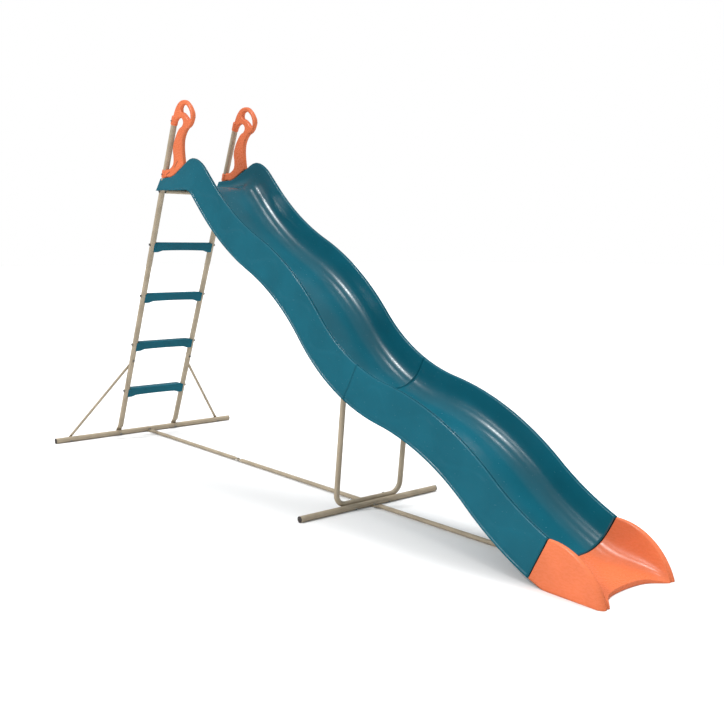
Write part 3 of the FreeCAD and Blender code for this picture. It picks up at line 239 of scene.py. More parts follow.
def wave_segments(wave):
    """Upper and lower stretches of the floor line: (heading before, heading after, size)."""
    upper = [
        (0.0, wave.crest[0], wave.crest[1]),
        (wave.crest[0], wave.crest[0], wave.straight),
        (wave.crest[0], wave.hollow_1[0], wave.hollow_1[1]),
        (wave.hollow_1[0], wave.hump_1[0], wave.hump_1[1]),
        (wave.hump_1[0], wave.joint, wave.hollow_2[1]),
    ]
    lower = [
        (wave.joint, wave.hollow_2[0], wave.hollow_2[1]),
        (wave.hollow_2[0], wave.hump_2[0], wave.hump_2[1]),
        (wave.hump_2[0], wave.run_out[0], wave.run_out[1]),
    ]
    return upper, lower


def along(start, segment, share):
    """Floor point and heading at a share of one stretch."""
    before, after, size = segment
    heading = before + (after - before) * share
    if before == after:
        return start + forward(before) * size * share, heading
    side = 1.0 if after > before else -1.0
    centre = start - upward(before) * side * size
    return centre + upward(heading) * side * size, heading


def route(start, segments, pitch, distance=0.0):
    """Stations along the floor line: (point, heading, distance from the crest)."""
    stations = [(start, segments[0][0], distance)]
    for segment in segments:
        before, after, size = segment
        length = size if before == after else abs(math.radians(after - before)) * size
        count = max(2, round(length / pitch))
        for i in range(1, count + 1):
            point, heading = along(start, segment, i / count)
            stations.append((point, heading, distance + length * i / count))
        start = along(start, segment, 1.0)[0]
        distance += length
    return stations


def slide_points(settings):
    """Floor points at the crest, the chute joint and the exit joint."""
    upper, lower = wave_segments(settings.wave)
    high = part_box("upper_chute")[1]
    heading = settings.wave.joint
    joint_x = high[0] - settings.chute.depth * math.sin(math.radians(heading))
    crest = Vector((0.0, 0.0, high[2] - settings.chute.depth))
    end = crest.copy()
    for segment in upper:
        end = along(end, segment, 1.0)[0]
    crest.x = joint_x - end.x
    joint = Vector((joint_x, 0.0, end.z))
    finish = joint.copy()
    for segment in lower:
        finish = along(finish, segment, 1.0)[0]
    return crest, joint, finish


def rail_tube():
    """Radius of the rails, and the distance from the middle to their axes."""
    low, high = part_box("ladder_rail_upper_right")
    return (high[1] - low[1]) / 2.0, abs(low[1] + high[1]) / 2.0


def rail_line():
    """Point on the rails' plane at the ground, and their run per metre of rise."""
    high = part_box("ladder_rail_upper_right")[1]
    radius = rail_tube()[0]
    top_x = high[0] - radius * math.cos(RAIL_LEAN)
    top_z = high[2] - radius * math.sin(RAIL_LEAN)
    return top_x - top_z * math.tan(RAIL_LEAN), math.tan(RAIL_LEAN)


def rail_at(z):
    """X of the rails' axes at a height."""
    start, run = rail_line()
    return start + run * z


# ---- mesh helpers
def rounded_chain(bm, corners, radii, steps):
    """Chain of edges through the corners, with the rounded ones spun as arcs."""
    last = None
    for i, corner in enumerate(corners):
        radius = radii[i]
        if radius <= 0.0:
            begin = finish = bm.verts.new(corner)
        else:
            before = (corners[i - 1] - corner).normalized()
            after = (corners[i + 1] - corner).normalized()
            half = before.angle(after) / 2.0
            reach = radius / math.tan(half)
            centre = corner + (before + after).normalized() * (radius / math.sin(half))
            begin = bm.verts.new(corner + before * reach)
            axis = before.cross(after)
            spun = bmesh.ops.spin(bm, geom=[begin], cent=centre, axis=-axis, dvec=(0, 0, 0),
                                  angle=math.pi - 2.0 * half, steps=steps, use_merge=False)
            finish = spun["geom_last"][0]
        if last is not None:
            bm.edges.new((last, begin))
        last = finish
    return list(bm.edges)


def extrude(bm, edges):
    """Extrudes open edges. Returns the new vertices and the new edges."""
    new = bmesh.ops.extrude_edge_only(bm, edges=edges)["geom"]
    return ([item for item in new if isinstance(item, bmesh.types.BMVert)],
            [item for item in new if isinstance(item, bmesh.types.BMEdge)])


def absorb(bm, other):
    """Adds another mesh in the making to this one, and frees it."""
    spare = bpy.data.meshes.new("Spare")
    other.to_mesh(spare)
    other.free()
    bm.from_mesh(spare)
    bpy.data.meshes.remove(spare)


def finish_mesh(bm, name, material, smooth=40.0, merge=0.00005):
    """Merges, turns outwards and links a mesh as a finished piece of the slide."""
    if merge:
        bmesh.ops.remove_doubles(bm, verts=bm.verts[:], dist=merge)
    bmesh.ops.recalc_face_normals(bm, faces=bm.faces[:])
    mesh = bpy.data.meshes.new(name)
    bm.to_mesh(mesh)
    bm.free()
    piece = bpy.data.objects.new(name, mesh)
    bpy.context.scene.collection.objects.link(piece)
    mesh.materials.append(material)
    mesh.shade_smooth()
    if smooth:
        mesh.set_sharp_from_angle(angle=math.radians(smooth))
    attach(piece, "root")
    return piece


def thicken(piece, wall):
    """Gives a skin its wall."""
    solid = piece.modifiers.new("Wall", "SOLIDIFY")
    solid.thickness = wall
    solid.offset = -1.0
    solid.use_even_offset = True


def soften(piece, width, segments=3, angle=35.0):
    """Rounds the sharp edges of a piece."""
    bevel = piece.modifiers.new("Edges", "BEVEL")
    bevel.width = width
    bevel.segments = segments
    bevel.limit_method = "ANGLE"
    bevel.angle_limit = math.radians(angle)


def chute_chain(bm, chute, origin, heading):
    """Section of the chute from one skirt to the other, on the floor line."""
    up = upward(heading)
    half = [(chute.skirt_half + chute.lip, -chute.skirt_drop),
            (chute.skirt_half + chute.lip, -chute.skirt_drop + 3.0 * chute.lip),
            (chute.skirt_half, -chute.skirt_drop + 4.2 * chute.lip),
            (chute.rim_half, chute.depth),
            (chute.rim_half - chute.bead, chute.depth),
            (chute.rim_half - 1.2 * chute.bead, chute.depth - chute.groove),
            (chute.channel_half + 1.1 * chute.bead, chute.depth - chute.groove),
            (chute.channel_half + 0.9 * chute.bead, chute.depth),
            (chute.channel_half, chute.depth), (chute.floor_half, 0.0)]
    small = 0.25 * chute.rim_radius
    radii = [0.0, 0.0, 0.0, chute.rim_radius, small, small, small, small, chute.rim_radius, chute.corner]
    corners = [origin + ACROSS * y + up * h for y, h in half]
    corners += [origin - ACROSS * y + up * h for y, h in reversed(half)]
    rounded_chain(bm, corners, radii + radii[::-1], 6)
    tall = [e for e in bm.edges if abs(e.verts[0].co.y) > chute.rim_half - 0.001
            and abs(e.verts[1].co.y) > chute.rim_half - 0.001 and e.calc_length() > 0.05]
    bmesh.ops.subdivide_edges(bm, edges=tall, cuts=20)
    walls = [e for e in bm.edges if e.calc_length() > 0.03 and abs(e.verts[0].co.y) > 0.15]
    bmesh.ops.subdivide_edges(bm, edges=walls, cuts=3)
    floor = [e for e in bm.edges if e.calc_length() > 0.12 and abs(e.verts[0].co.y) < 0.15]
    bmesh.ops.subdivide_edges(bm, edges=floor, cuts=7)


def sweep_chain(bm, stations):
    """Extrudes the mesh's open chain from station to station. Returns every ring of vertices."""
    edges = list(bm.edges)
    rings = [(stations[0], list(bm.verts))]
    for before, here in zip(stations, stations[1:]):
        verts, edges = extrude(bm, edges)
        turn = Matrix.Rotation(math.radians(here[1] - before[1]), 3, ACROSS)
        for vert in verts:
            vert.co = here[0] + turn @ (vert.co - before[0])
        rings.append((here, verts))
    return rings


def ramp(value, width):
    """Smooth step from 0 to 1 across a width."""
    t = min(1.0, max(0.0, value / width + 0.5))
    return t * t * (3.0 - 2.0 * t)


def relief_line(chute, distance):
    """Height above the floor of the wavy panel's edge, at a distance from the crest."""
    phase = ((distance - chute.relief_start) / chute.relief_length) % 1.0
    if phase < chute.relief_rise:
        swing = -math.cos(math.pi * phase / chute.relief_rise)
    else:
        swing = math.cos(math.pi * (phase - chute.relief_rise) / (1.0 - chute.relief_rise))
    return chute.relief_middle + chute.relief_swing * swing


def raise_relief(chute, rings, fade):
    """Raises the wavy panel on the outer faces of the skirts."""
    for (origin, heading, distance), verts in rings:
        line = relief_line(chute, distance)
        for vert in verts:
            height = (vert.co - origin).dot(upward(heading))
            clear = min(height + chute.skirt_drop, chute.depth - height) - 0.014
            if abs(vert.co.y) < chute.rim_half - 0.001 or clear <= 0.0:
                continue
            rise = chute.relief * ramp(line - height, chute.relief_blend) * fade(distance)
            rise *= min(1.0, clear / 0.010)
            vert.co.y += math.copysign(rise, vert.co.y)


# ---- finishes
def new_material(name):
    """Material with its nodes cleared to a shader, an output and Object coordinates."""
    material = bpy.data.materials.get(name)
    if material:
        return material, None
    material = bpy.data.materials.new(name)
    material.use_nodes = True
    tree = material.node_tree
    tree.nodes.clear()
    output = tree.nodes.new("ShaderNodeOutputMaterial")
    shader = tree.nodes.new("ShaderNodeBsdfPrincipled")
    place = tree.nodes.new("ShaderNodeTexCoord")
    tree.links.new(shader.outputs[0], output.inputs[0])
    return material, (tree, shader, place)


def noise(tree, place, scale, detail=3.0, stretch=None):
    """Noise on Object coordinates, stretched by a mapping where one is given."""
    texture = tree.nodes.new("ShaderNodeTexNoise")
    texture.inputs["Scale"].default_value = scale
    texture.inputs["Detail"].default_value = detail
    source = place.outputs["Object"]
    if stretch:
        mapping = tree.nodes.new("ShaderNodeMapping")
        mapping.inputs["Scale"].default_value = stretch
        tree.links.new(source, mapping.inputs["Vector"])
        source = mapping.outputs["Vector"]
    tree.links.new(source, texture.inputs["Vector"])
    return texture.outputs[0]


def colour_range(tree, source, dark, light):
    """Ramp between two colours."""
    ramp_node = tree.nodes.new("ShaderNodeValToRGB")
    ramp_node.color_ramp.elements[0].position = 0.35
    ramp_node.color_ramp.elements[1].position = 0.65
    ramp_node.color_ramp.elements[0].color = (*dark, 1.0)
    ramp_node.color_ramp.elements[1].color = (*light, 1.0)
    tree.links.new(source, ramp_node.inputs[0])
    return ramp_node.outputs[0]


def value_range(tree, source, low, high):
    """Noise mapped to a range of numbers."""
    mapped = tree.nodes.new("ShaderNodeMapRange")
    mapped.inputs["From Min"].default_value = 0.3
    mapped.inputs["From Max"].default_value = 0.7
    mapped.inputs["To Min"].default_value = low
    mapped.inputs["To Max"].default_value = high
    tree.links.new(source, mapped.inputs["Value"])
    return mapped.outputs[0]


def add_bump(tree, shader, source, strength, distance):
    bump = tree.nodes.new("ShaderNodeBump")
    bump.inputs["Strength"].default_value = strength
    bump.inputs["Distance"].default_value = distance
    tree.links.new(source, bump.inputs["Height"])
    tree.links.new(bump.outputs[0], shader.inputs["Normal"])


def scaled(colour, factor):
    return tuple(min(1.0, c * factor) for c in colour)


def grained(name, colour, tones, cloud, gloss, scuff, grain, bump):
    """Material with mottled colour, scuffed roughness and a fine grain, each from its own noise."""
    material, parts = new_material(name)
    if not parts:
        return material, None
    tree, shader, place = parts
    dark, light = (scaled(colour, tone) for tone in tones)
    shade = colour_range(tree, noise(tree, place, *cloud), dark, light)
    tree.links.new(shade, shader.inputs["Base Color"])
    rough = value_range(tree, noise(tree, place, *scuff), *gloss)
    tree.links.new(rough, shader.inputs["Roughness"])
    add_bump(tree, shader, noise(tree, place, *grain), *bump)
    return material, shader


def moulded_plastic(name, colour, gloss):
    """Glossy rotationally moulded plastic with faint mottling and a fine skin."""
    material, shader = grained(name, colour, (0.92, 1.07), (5.0, 4.0), (gloss - 0.035, gloss + 0.045),
                               (60.0, 5.0, (1.0, 1.0, 2.5)), (420.0, 2.0), (0.05, 0.0004))
    if shader:
        shader.inputs["Specular IOR Level"].default_value = 0.45
    return material


def powder_coat(name, colour):
    """Satin powder coat with its fine pebbled grain."""
    return grained(name, colour, (0.90, 1.08), (14.0, 4.0), (0.34, 0.46), (90.0,), (900.0, 2.0),
                   (0.12, 0.0003))[0]


def zinc_plate(name, colour):
    """Bright zinc plate with a faint drawn grain."""
    material, shader = grained(name, colour, (0.80, 1.12), (130.0, 3.0), (0.20, 0.36), (700.0,),
                               (1500.0, 2.0, (1.0, 1.0, 4.0)), (0.08, 0.0002))
    if shader:
        shader.inputs["Metallic"].default_value = 1.0
    return material


def plug_plastic(name, colour):
    """Dull dark plastic of the end plugs."""
    return grained(name, colour, (0.8, 1.25), (80.0,), (0.48, 0.62), (300.0,), (800.0, 2.0),
                   (0.10, 0.0003))[0]


def pale_floor(name, colour):
    """Plain pale studio floor."""
    material, parts = new_material(name)
    if parts:
        tree, shader, place = parts
        shade = colour_range(tree, noise(tree, place, 1.5), scaled(colour, 0.995), scaled(colour, 1.005))
        tree.links.new(shade, shader.inputs["Base Color"])
        shader.inputs["Roughness"].default_value = 0.9
        shader.inputs["Specular IOR Level"].default_value = 0.1
    return material


def teal(finish):
    return moulded_plastic("Teal moulded plastic", finish.teal, 0.23)


def orange(finish):
    return moulded_plastic("Orange moulded plastic", finish.orange, 0.27)


def turn_outwards(piece, probe):
    """Flips a skin whose face nearest the probe point looks down."""
    mesh = piece.data
    nearest = min(mesh.polygons, key=lambda face: (face.center - probe).length_squared)
    if nearest.normal.z < 0.0:
        mesh.flip_normals()


# ---- chute operators
def blend_high(a, b, width):
    """Larger of two heights, rounded where they cross."""
    near = max(0.0, width - abs(a - b)) / width
    return max(a, b) + near * near * width / 4.0


def deck_rim(deck, chute, behind):
    """Height of the rim above the deck at a distance behind the crest, or in front of it where negative."""
    slope = deck.rise_at_crest - deck.slope * behind
    ridge = chute.depth
    if behind < 0.0:
        arc = chute.depth + deck.crest_radius
        ridge = math.sqrt(max(0.0, arc * arc - behind * behind)) - deck.crest_radius
    return -blend_high(-blend_high(deck.wall, slope, 0.014), -ridge, 0.024)


def shape_deck(rings, deck, chute, crest):
    """Lowers the walls towards the rails, narrows the channel and leans the end like the rails."""
    reach = deck.length + deck.overhang
    lean = rail_line()[1]
    for (origin, heading, distance), verts in rings:
        behind = crest.x - origin.x
        share = behind / reach
        lower = deck_rim(deck, chute, behind) / chute.depth
        raised = 1.0 - share * (1.0 - deck.end_drop / chute.skirt_drop)
        for vert in verts:
            move = Vector((0.0, 0.0, 0.0))
            height = vert.co.z - crest.z
            move.z = height * ((lower if height > 0.0 else raised) - 1.0)
            width = abs(vert.co.y)
            if width < 0.198:
                inward = (chute.channel_half - deck.pocket_half) * min(1.0, share * 1.1)
                inward *= min(1.0, max(0.0, (width - 0.07) / 0.10))
                move.y = -math.copysign(inward, vert.co.y)
            move.x = (height + move.z) * lean * share
            vert.co += move


def lower_crest(rings, deck, chute, crest):
    """Carries the sloping rim of the deck on over the crest, up to the rim of the chute."""
    for (origin, heading, distance), verts in rings:
        up = upward(heading)
        rim = origin + up * chute.depth - crest
        if rim.x > 0.12:
            break
        drop = (rim.z - deck_rim(deck, chute, -rim.x)) / math.cos(math.radians(heading))
        for vert in verts:
            height = (vert.co - origin).dot(up)
            if height > 0.0 and drop > 0.0:
                vert.co -= up * drop * height / chute.depth


def close_end(bm, verts):
    """Fills the end of the deck between its skirts, under the floor."""
    ring = set(verts)
    rim = [edge for edge in bm.edges if edge.verts[0] in ring and edge.verts[1] in ring]
    ends = [vert for vert in verts if len([e for e in rim if vert in e.verts]) == 1]
    rim.append(bm.edges.new(ends))
    bmesh.ops.triangle_fill(bm, use_beauty=True, use_dissolve=False, edges=rim)


class SLIDE_OT_upper_chute(bpy.types.Operator):
    """Deck, crest, first hollow and first hump in one moulding"""
    bl_idname = "slide.upper_chute"
    bl_label = "Upper chute"

    def execute(self, context):
        settings = context.scene.wave_slide
        chute, deck = settings.chute, settings.deck
        crest = slide_points(settings)[0]
        bm = bmesh.new()
        chute_chain(bm, chute, crest, 0.0)
        upper = wave_segments(settings.wave)[0]
        stations = route(crest, upper, chute.pitch)
        last = stations[-1]
        stations[-1] = (last[0] - forward(last[1]) * chute.joint_gap, last[1], last[2])
        rings = sweep_chain(bm, stations)
        raise_relief(chute, rings, lambda distance: ramp(distance - 0.05, 0.08))
        lower_crest(rings, deck, chute, crest)
        back = bmesh.new()
        chute_chain(back, chute, crest, 0.0)
        reach = deck.length + deck.overhang
        count = round(reach / chute.pitch)
        behind = [(crest - forward(0.0) * reach * i / count, 0.0, 0.0) for i in range(count + 1)]
        deck_rings = sweep_chain(back, behind)
        shape_deck(deck_rings, deck, chute, crest)
        close_end(back, deck_rings[-1][1])
        absorb(bm, back)
        piece = finish_mesh(bm, "upper_chute_skin", teal(settings.finish))
        turn_outwards(piece, crest)
        thicken(piece, chute.wall)
        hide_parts("upper_chute")
        return {"FINISHED"}


class SLIDE_OT_lower_chute(bpy.types.Operator):
    """Second hollow and hump in one moulding"""
    bl_idname = "slide.lower_chute"
    bl_label = "Lower chute"

    def execute(self, context):
        settings = context.scene.wave_slide
        chute = settings.chute
        crest, joint = slide_points(settings)[:2]
        upper, lower = wave_segments(settings.wave)
        before = route(crest, upper, chute.pitch)[-1][2]
        bm = bmesh.new()
        gap = forward(settings.wave.joint) * chute.joint_gap
        chute_chain(bm, chute, joint + gap, settings.wave.joint)
        stations = route(joint, lower, chute.pitch, before)
        stations[0] = (joint + gap, stations[0][1], stations[0][2])
        last = stations[-1]
        stations[-1] = (last[0] - forward(last[1]) * settings.run_out.seam, last[1], last[2])
        rings = sweep_chain(bm, stations)
        length = stations[-1][2]
        raise_relief(chute, rings, lambda distance: ramp(length - 0.05 - distance, 0.08))
        piece = finish_mesh(bm, "lower_chute_skin", teal(settings.finish))
        turn_outwards(piece, joint)
        thicken(piece, chute.wall)
        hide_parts("lower_chute")
        return {"FINISHED"}


class SLIDE_OT_joint_flanges(bpy.types.Operator):
    """Bolted flanges under the floor at both joints"""
    bl_idname = "slide.joint_flanges"
    bl_label = "Joint flanges"

    def execute(self, context):
        settings = context.scene.wave_slide
        joint, finish = slide_points(settings)[1:]
        for name, origin, heading in (("chute", joint, settings.wave.joint),
                                      ("exit", finish, settings.wave.run_out[0])):
            for label, side in (("upper", -1.0), ("lower", 1.0)):
                bm = bmesh.new()
                bmesh.ops.create_cube(bm, size=1.0)
                bmesh.ops.scale(bm, verts=bm.verts, vec=FLANGE_SIZE)
                upright = [e for e in bm.edges if abs(e.verts[0].co.x - e.verts[1].co.x) > 0.001
                           and e.verts[0].co.z < 0.0]
                bmesh.ops.bevel(bm, geom=upright, offset=0.006, offset_type="OFFSET", segments=4,
                                profile=0.5, affect="EDGES", material=-1)
                bmesh.ops.rotate(bm, verts=bm.verts, cent=(0, 0, 0),
                                 matrix=Matrix.Rotation(math.radians(heading), 3, ACROSS))
                shift = (origin + forward(heading) * side * FLANGE_OFFSET
                         - upward(heading) * FLANGE_DROP)
                bmesh.ops.translate(bm, verts=bm.verts, vec=shift)
                accent = name == "exit" and side > 0.0
                material = orange(settings.finish) if accent else teal(settings.finish)
                finish_mesh(bm, "%s_joint_flange_%s" % (name, label),
                            material, 30.0)
        return {"FINISHED"}


# ---- exit operator
def exit_columns():
    """Half section of the run-out, outside to middle: (kind, share, y at the joint, y at the front, reach).

    A band column lies inside the fin's arc by a share of the rounding on its side. The others share
    the height between their foot line and the crease of the fin.
    """
    return [
        ("outer", 0.00, 0.2200, 0.2215, 0.0), ("outer", 0.36, 0.2160, 0.2215, 0.0),
        ("outer", 0.74, 0.2105, 0.2215, 0.0), ("outer", 0.94, 0.2082, 0.2215, 0.0),
        ("outer_band", 1.00, 0.2072, 0.2205, 0.0), ("outer_band", 0.32, 0.2050, 0.2150, 0.0),
        ("outer_band", 0.00, 0.2005, 0.2065, 0.0), ("inner_band", 0.00, 0.1955, 0.1985, 0.0),
        ("inner_band", 0.32, 0.1915, 0.1885, 0.0), ("inner_band", 1.00, 0.1896, 0.1835, 0.303),
        ("inner", 0.80, 0.1880, 0.1805, 0.3030), ("inner", 0.50, 0.1840, 0.1760, 0.3000),
        ("inner", 0.24, 0.1690, 0.1640, 0.2920), ("inner", 0.08, 0.1420, 0.1450, 0.2740),
        ("inner", 0.00, 0.1080, 0.1180, 0.2520), ("inner", 0.00, 0.0600, 0.0750, 0.2390),
        ("inner", 0.00, 0.0000, 0.0000, 0.2340),
    ]


def exit_lines(settings, finish):
    """Rim, outward direction, floor and foot of the run-out, by a share from the joint to the front."""
    sizes, chute = settings.run_out, settings.chute
    heading = settings.wave.run_out[0]
    up = upward(heading)
    top = finish + up * chute.depth
    foot = finish - up * chute.skirt_drop
    tip = Vector((finish.x + sizes.length, 0.0, 0.003))
    chord = tip - top
    square = Vector((-chord.z, 0.0, chord.x)).normalized()
    centre = (top + tip) / 2.0 - square * math.sqrt(sizes.fin_radius ** 2 - (chord.length / 2.0) ** 2)
    first = math.atan2(top.z - centre.z, top.x - centre.x)
    last = math.atan2(tip.z - centre.z, tip.x - centre.x)
    lip_x = finish.x + sizes.length - sizes.setback
    bend = sizes.floor_radius * math.sin(math.radians(heading))

    def outward(t):
        angle = first + (last - first) * t
        return Vector((math.cos(angle), 0.0, math.sin(angle)))

    def floor(t):
        x = finish.x + (lip_x - finish.x) * t
        left = max(0.0, bend - (x - finish.x))
        return Vector((x, 0.0, sizes.floor + sizes.floor_radius
                       - math.sqrt(sizes.floor_radius ** 2 - left ** 2)))

    def base(t):
        x = foot.x + (tip.x - sizes.outer_round - foot.x) * t
        share = min(1.0, (x - foot.x) / (finish.x + sizes.heel - foot.x))
        return Vector((x, 0.0, max(GROUND_CLEARANCE, foot.z * (1.0 - share))))

    return (lambda t: centre + outward(t) * sizes.fin_radius), outward, floor, base


def exit_point(settings, finish, lines, column, t):
    """Point of the run-out's skin on a column, at a share from the joint to the front."""
    sizes = settings.run_out
    rim, outward, floor, base = lines
    kind, share, y_joint, y_front, reach = column
    late = t ** 3
    outer_round = 0.004 + (sizes.outer_round - 0.004) * t * t
    inner_round = 0.005 + (sizes.inner_round - 0.005) * t * t
    if kind == "outer":
        top = rim(t) - outward(t) * outer_round
        point = base(t).lerp(top, share)
    elif kind == "outer_band":
        point = rim(t) - outward(t) * outer_round * share
    elif kind == "inner_band":
        point = rim(t) - outward(t) * inner_round * share
    else:
        top = rim(t) - outward(t) * inner_round
        low = floor(t)
        low.z -= (low.z - sizes.lip) * late * ramp(y_front - 0.130, 0.08)
        point = low.lerp(top, share)
    if reach:
        front = finish.x + reach
        settled = late * ramp(t - 0.55, 0.9)
        point.x += (front - point.x) * settled
    point.z = max(point.z, GROUND_CLEARANCE)
    point.y = y_joint + (y_front - y_joint) * (0.5 * t + 0.5 * late)
    return point


class SLIDE_OT_exit(bpy.types.Operator):
    """Run-out with two rounded fins and a hollowed front lip"""
    bl_idname = "slide.exit"
    bl_label = "Exit section"

    def execute(self, context):
        settings = context.scene.wave_slide
        finish = slide_points(settings)[2]
        lines = exit_lines(settings, finish)
        half = exit_columns()
        columns = [(1.0, c) for c in half] + [(-1.0, c) for c in reversed(half[:-1])]
        bm = bmesh.new()
        bmesh.ops.create_grid(bm, x_segments=EXIT_ROWS - 1, y_segments=len(columns) - 1, size=1.0)
        gap = forward(settings.wave.run_out[0]) * settings.run_out.seam
        front = []
        for vert in bm.verts:
            t = round((vert.co.x + 1.0) / 2.0 * (EXIT_ROWS - 1)) / (EXIT_ROWS - 1)
            side, column = columns[round((vert.co.y + 1.0) / 2.0 * (len(columns) - 1))]
            point = exit_point(settings, finish, lines, column, t)
            point.y *= side
            vert.co = point + gap * (1.0 - t)
            if t == 1.0 and column[0] != "outer":
                front.append(vert)
        edges = [e for e in bm.edges if e.verts[0] in front and e.verts[1] in front]
        low = extrude(bm, edges)[0]
        for vert in low:
            vert.co += Vector((-0.0015, 0.0, GROUND_CLEARANCE - vert.co.z))
        crease = bm.edges.layers.float.new("crease_edge")
        for edge in bm.edges:
            if edge.verts[0] in low and edge.verts[1] in low:
                edge[crease] = 1.0
        piece = finish_mesh(bm, "exit_skin", orange(settings.finish), 0.0, 0.0)
        turn_outwards(piece, finish)
        smooth = piece.modifiers.new("Smooth", "SUBSURF")
        smooth.levels = smooth.render_levels = 3
        smooth.boundary_smooth = "PRESERVE_CORNERS"
        thicken(piece, settings.chute.wall)
        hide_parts("exit_section")
        return {"FINISHED"}


class SLIDE_OT_joint_tongues(bpy.types.Operator):
    """Tongues inside both joints, their teal darkened as painted shade in the gap between the mouldings"""
    bl_idname = "slide.joint_tongues"
    bl_label = "Joint tongues"

    def execute(self, context):
        settings = context.scene.wave_slide
        chute = settings.chute
        joint, finish = slide_points(settings)[1:]
        for name, origin, heading in (("chute", joint, settings.wave.joint),
                                      ("exit", finish, settings.wave.run_out[0])):
            inset = chute.wall + TONGUE_CLEARANCE
            top = chute.depth - chute.groove - inset
            half = [(chute.skirt_half - inset, 0.004 - chute.skirt_drop), (chute.rim_half - inset, top),
                    (chute.channel_half + inset, top), (chute.floor_half + inset, -inset)]
            radii = [0.0, 0.001, 0.001, chute.corner + inset]
            start = origin - forward(heading) * TONGUE_REACH
            corners = [start + ACROSS * y + upward(heading) * h for y, h in half]
            corners += [start - ACROSS * y + upward(heading) * h for y, h in reversed(half)]
            bm = bmesh.new()
            rounded_chain(bm, corners, radii + radii[::-1], 8)
            end = origin + forward(heading) * TONGUE_REACH
            sweep_chain(bm, [(start, heading, 0.0), (end, heading, 2.0 * TONGUE_REACH)])
            # Teal darkened to a quarter: painted shade in the gap between the mouldings
            shade = moulded_plastic("Shaded teal", scaled(settings.finish.teal, 0.25), 0.5)
            piece = finish_mesh(bm, name + "_joint_tongue", shade)
            turn_outwards(piece, origin)
            thicken(piece, TONGUE_WALL)
        return {"FINISHED"}


# ---- handle operator
def handle_outline(settings, origin_x, rim_z, crest):
    """Outline beside the rail: (run, rise, is a corner), from the sleeve round the loop and back."""
    deck, chute = settings.deck, settings.chute
    loop = [(0.120, 0.283, True), (0.137, 0.324, False), (0.157, 0.355, False), (0.190, 0.383, False),
            (0.215, 0.3925, False), (0.246, 0.3945, False), (0.276, 0.3885, False),
            (0.294, 0.378, False), (0.329, 0.345, False), (0.3475, 0.305, False),
            (0.338, 0.2785, False), (0.314, 0.253, False), (0.275, 0.238, False),
            (0.247, 0.2135, False), (0.232, 0.188, False), (0.2265, 0.155, False),
            (0.2285, 0.115, False)]
    foot = []
    for run in (0.238, 0.199, 0.162, 0.130, 0.100, 0.070, 0.040, 0.010, -0.010):
        behind = crest.x - (origin_x + run)
        rise = crest.z + deck_rim(deck, chute, behind) - rim_z
        lift = 0.005 if 0.02 < run < 0.06 else 0.0
        foot.append((run, rise + lift - 0.001, run > 0.23 or run < 0.0))
    inner = [(-0.012, 0.030, False), (-0.004, 0.047, False), (0.024, 0.048, False),
             (0.060, 0.044, False), (0.104, 0.058, False), (0.121, 0.073, False),
             (0.1255, 0.106, False), (0.1205, 0.146, False), (0.136, 0.186, False),
             (0.171, 0.2295, False), (0.199, 0.252, False), (0.229, 0.2625, False),
             (0.2405, 0.279, False), (0.233, 0.294, False), (0.203, 0.306, False),
             (0.175, 0.302, False), (0.157, 0.290, False), (0.139, 0.276, True)]
    return loop + foot + inner


HAND_HOLE = [(0.222, 0.340, False), (0.2235, 0.358, False), (0.238, 0.367, False), (0.270, 0.366, False),
             (0.294, 0.351, False), (0.312, 0.330, False), (0.321, 0.303, False), (0.316, 0.283, False),
             (0.302, 0.285, False), (0.280, 0.304, False), (0.247, 0.327, False)]
HANDLE_SLOTS = [((0.040, 0.014), (0.088, 0.030)), ((0.139, 0.048), (0.180, 0.082))]


def add_spline(curve, points):
    """Closed spline through the points, smooth except at the corners."""
    spline = curve.splines.new("BEZIER")
    spline.bezier_points.add(len(points) - 1)
    spline.use_cyclic_u = True
    for bezier, (run, rise, corner) in zip(spline.bezier_points, points):
        bezier.co = (run, rise, 0.0)
        kind = "VECTOR" if corner else "AUTO"
        bezier.handle_left_type = bezier.handle_right_type = kind


def handle_plate(settings, outline):
    """Plate with a hand hole and rounded edges, drawn flat and made a mesh."""
    sizes = settings.handle
    curve = bpy.data.curves.new("Handle outline", "CURVE")
    curve.dimensions = "2D"
    curve.fill_mode = "BOTH"
    curve.resolution_u = 8
    curve.extrude = sizes.half_thick - sizes.rounding
    curve.bevel_depth = sizes.rounding
    curve.bevel_resolution = 4
    curve.offset = -sizes.rounding
    add_spline(curve, outline)
    add_spline(curve, HAND_HOLE)
    drawing = bpy.data.objects.new("Handle drawing", curve)
    bpy.context.scene.collection.objects.link(drawing)
    bpy.context.view_layer.update()
    flat = bpy.data.meshes.new_from_object(drawing.evaluated_get(bpy.context.evaluated_depsgraph_get()))
    bpy.data.objects.remove(drawing)
    bpy.data.curves.remove(curve)
    return flat


def add_rod(bm, start, end, radius, rounding):
    """Round bar between two points, with rounded ends."""
    axis = end - start
    rod = bmesh.new()
    bmesh.ops.create_cone(rod, cap_ends=True, cap_tris=False, segments=40, radius1=radius,
                          radius2=radius, depth=axis.length)
    rims = [e for e in rod.edges if abs(e.verts[0].co.z - e.verts[1].co.z) < 1e-6]
    bmesh.ops.bevel(rod, geom=rims, offset=rounding, offset_type="OFFSET", segments=4, profile=0.5,
                    affect="EDGES", material=-1)
    turn = UP.rotation_difference(axis.normalized()).to_matrix()
    bmesh.ops.rotate(rod, verts=rod.verts, cent=(0, 0, 0), matrix=turn)
    bmesh.ops.translate(rod, verts=rod.verts, vec=(start + end) / 2.0)
    absorb(bm, rod)


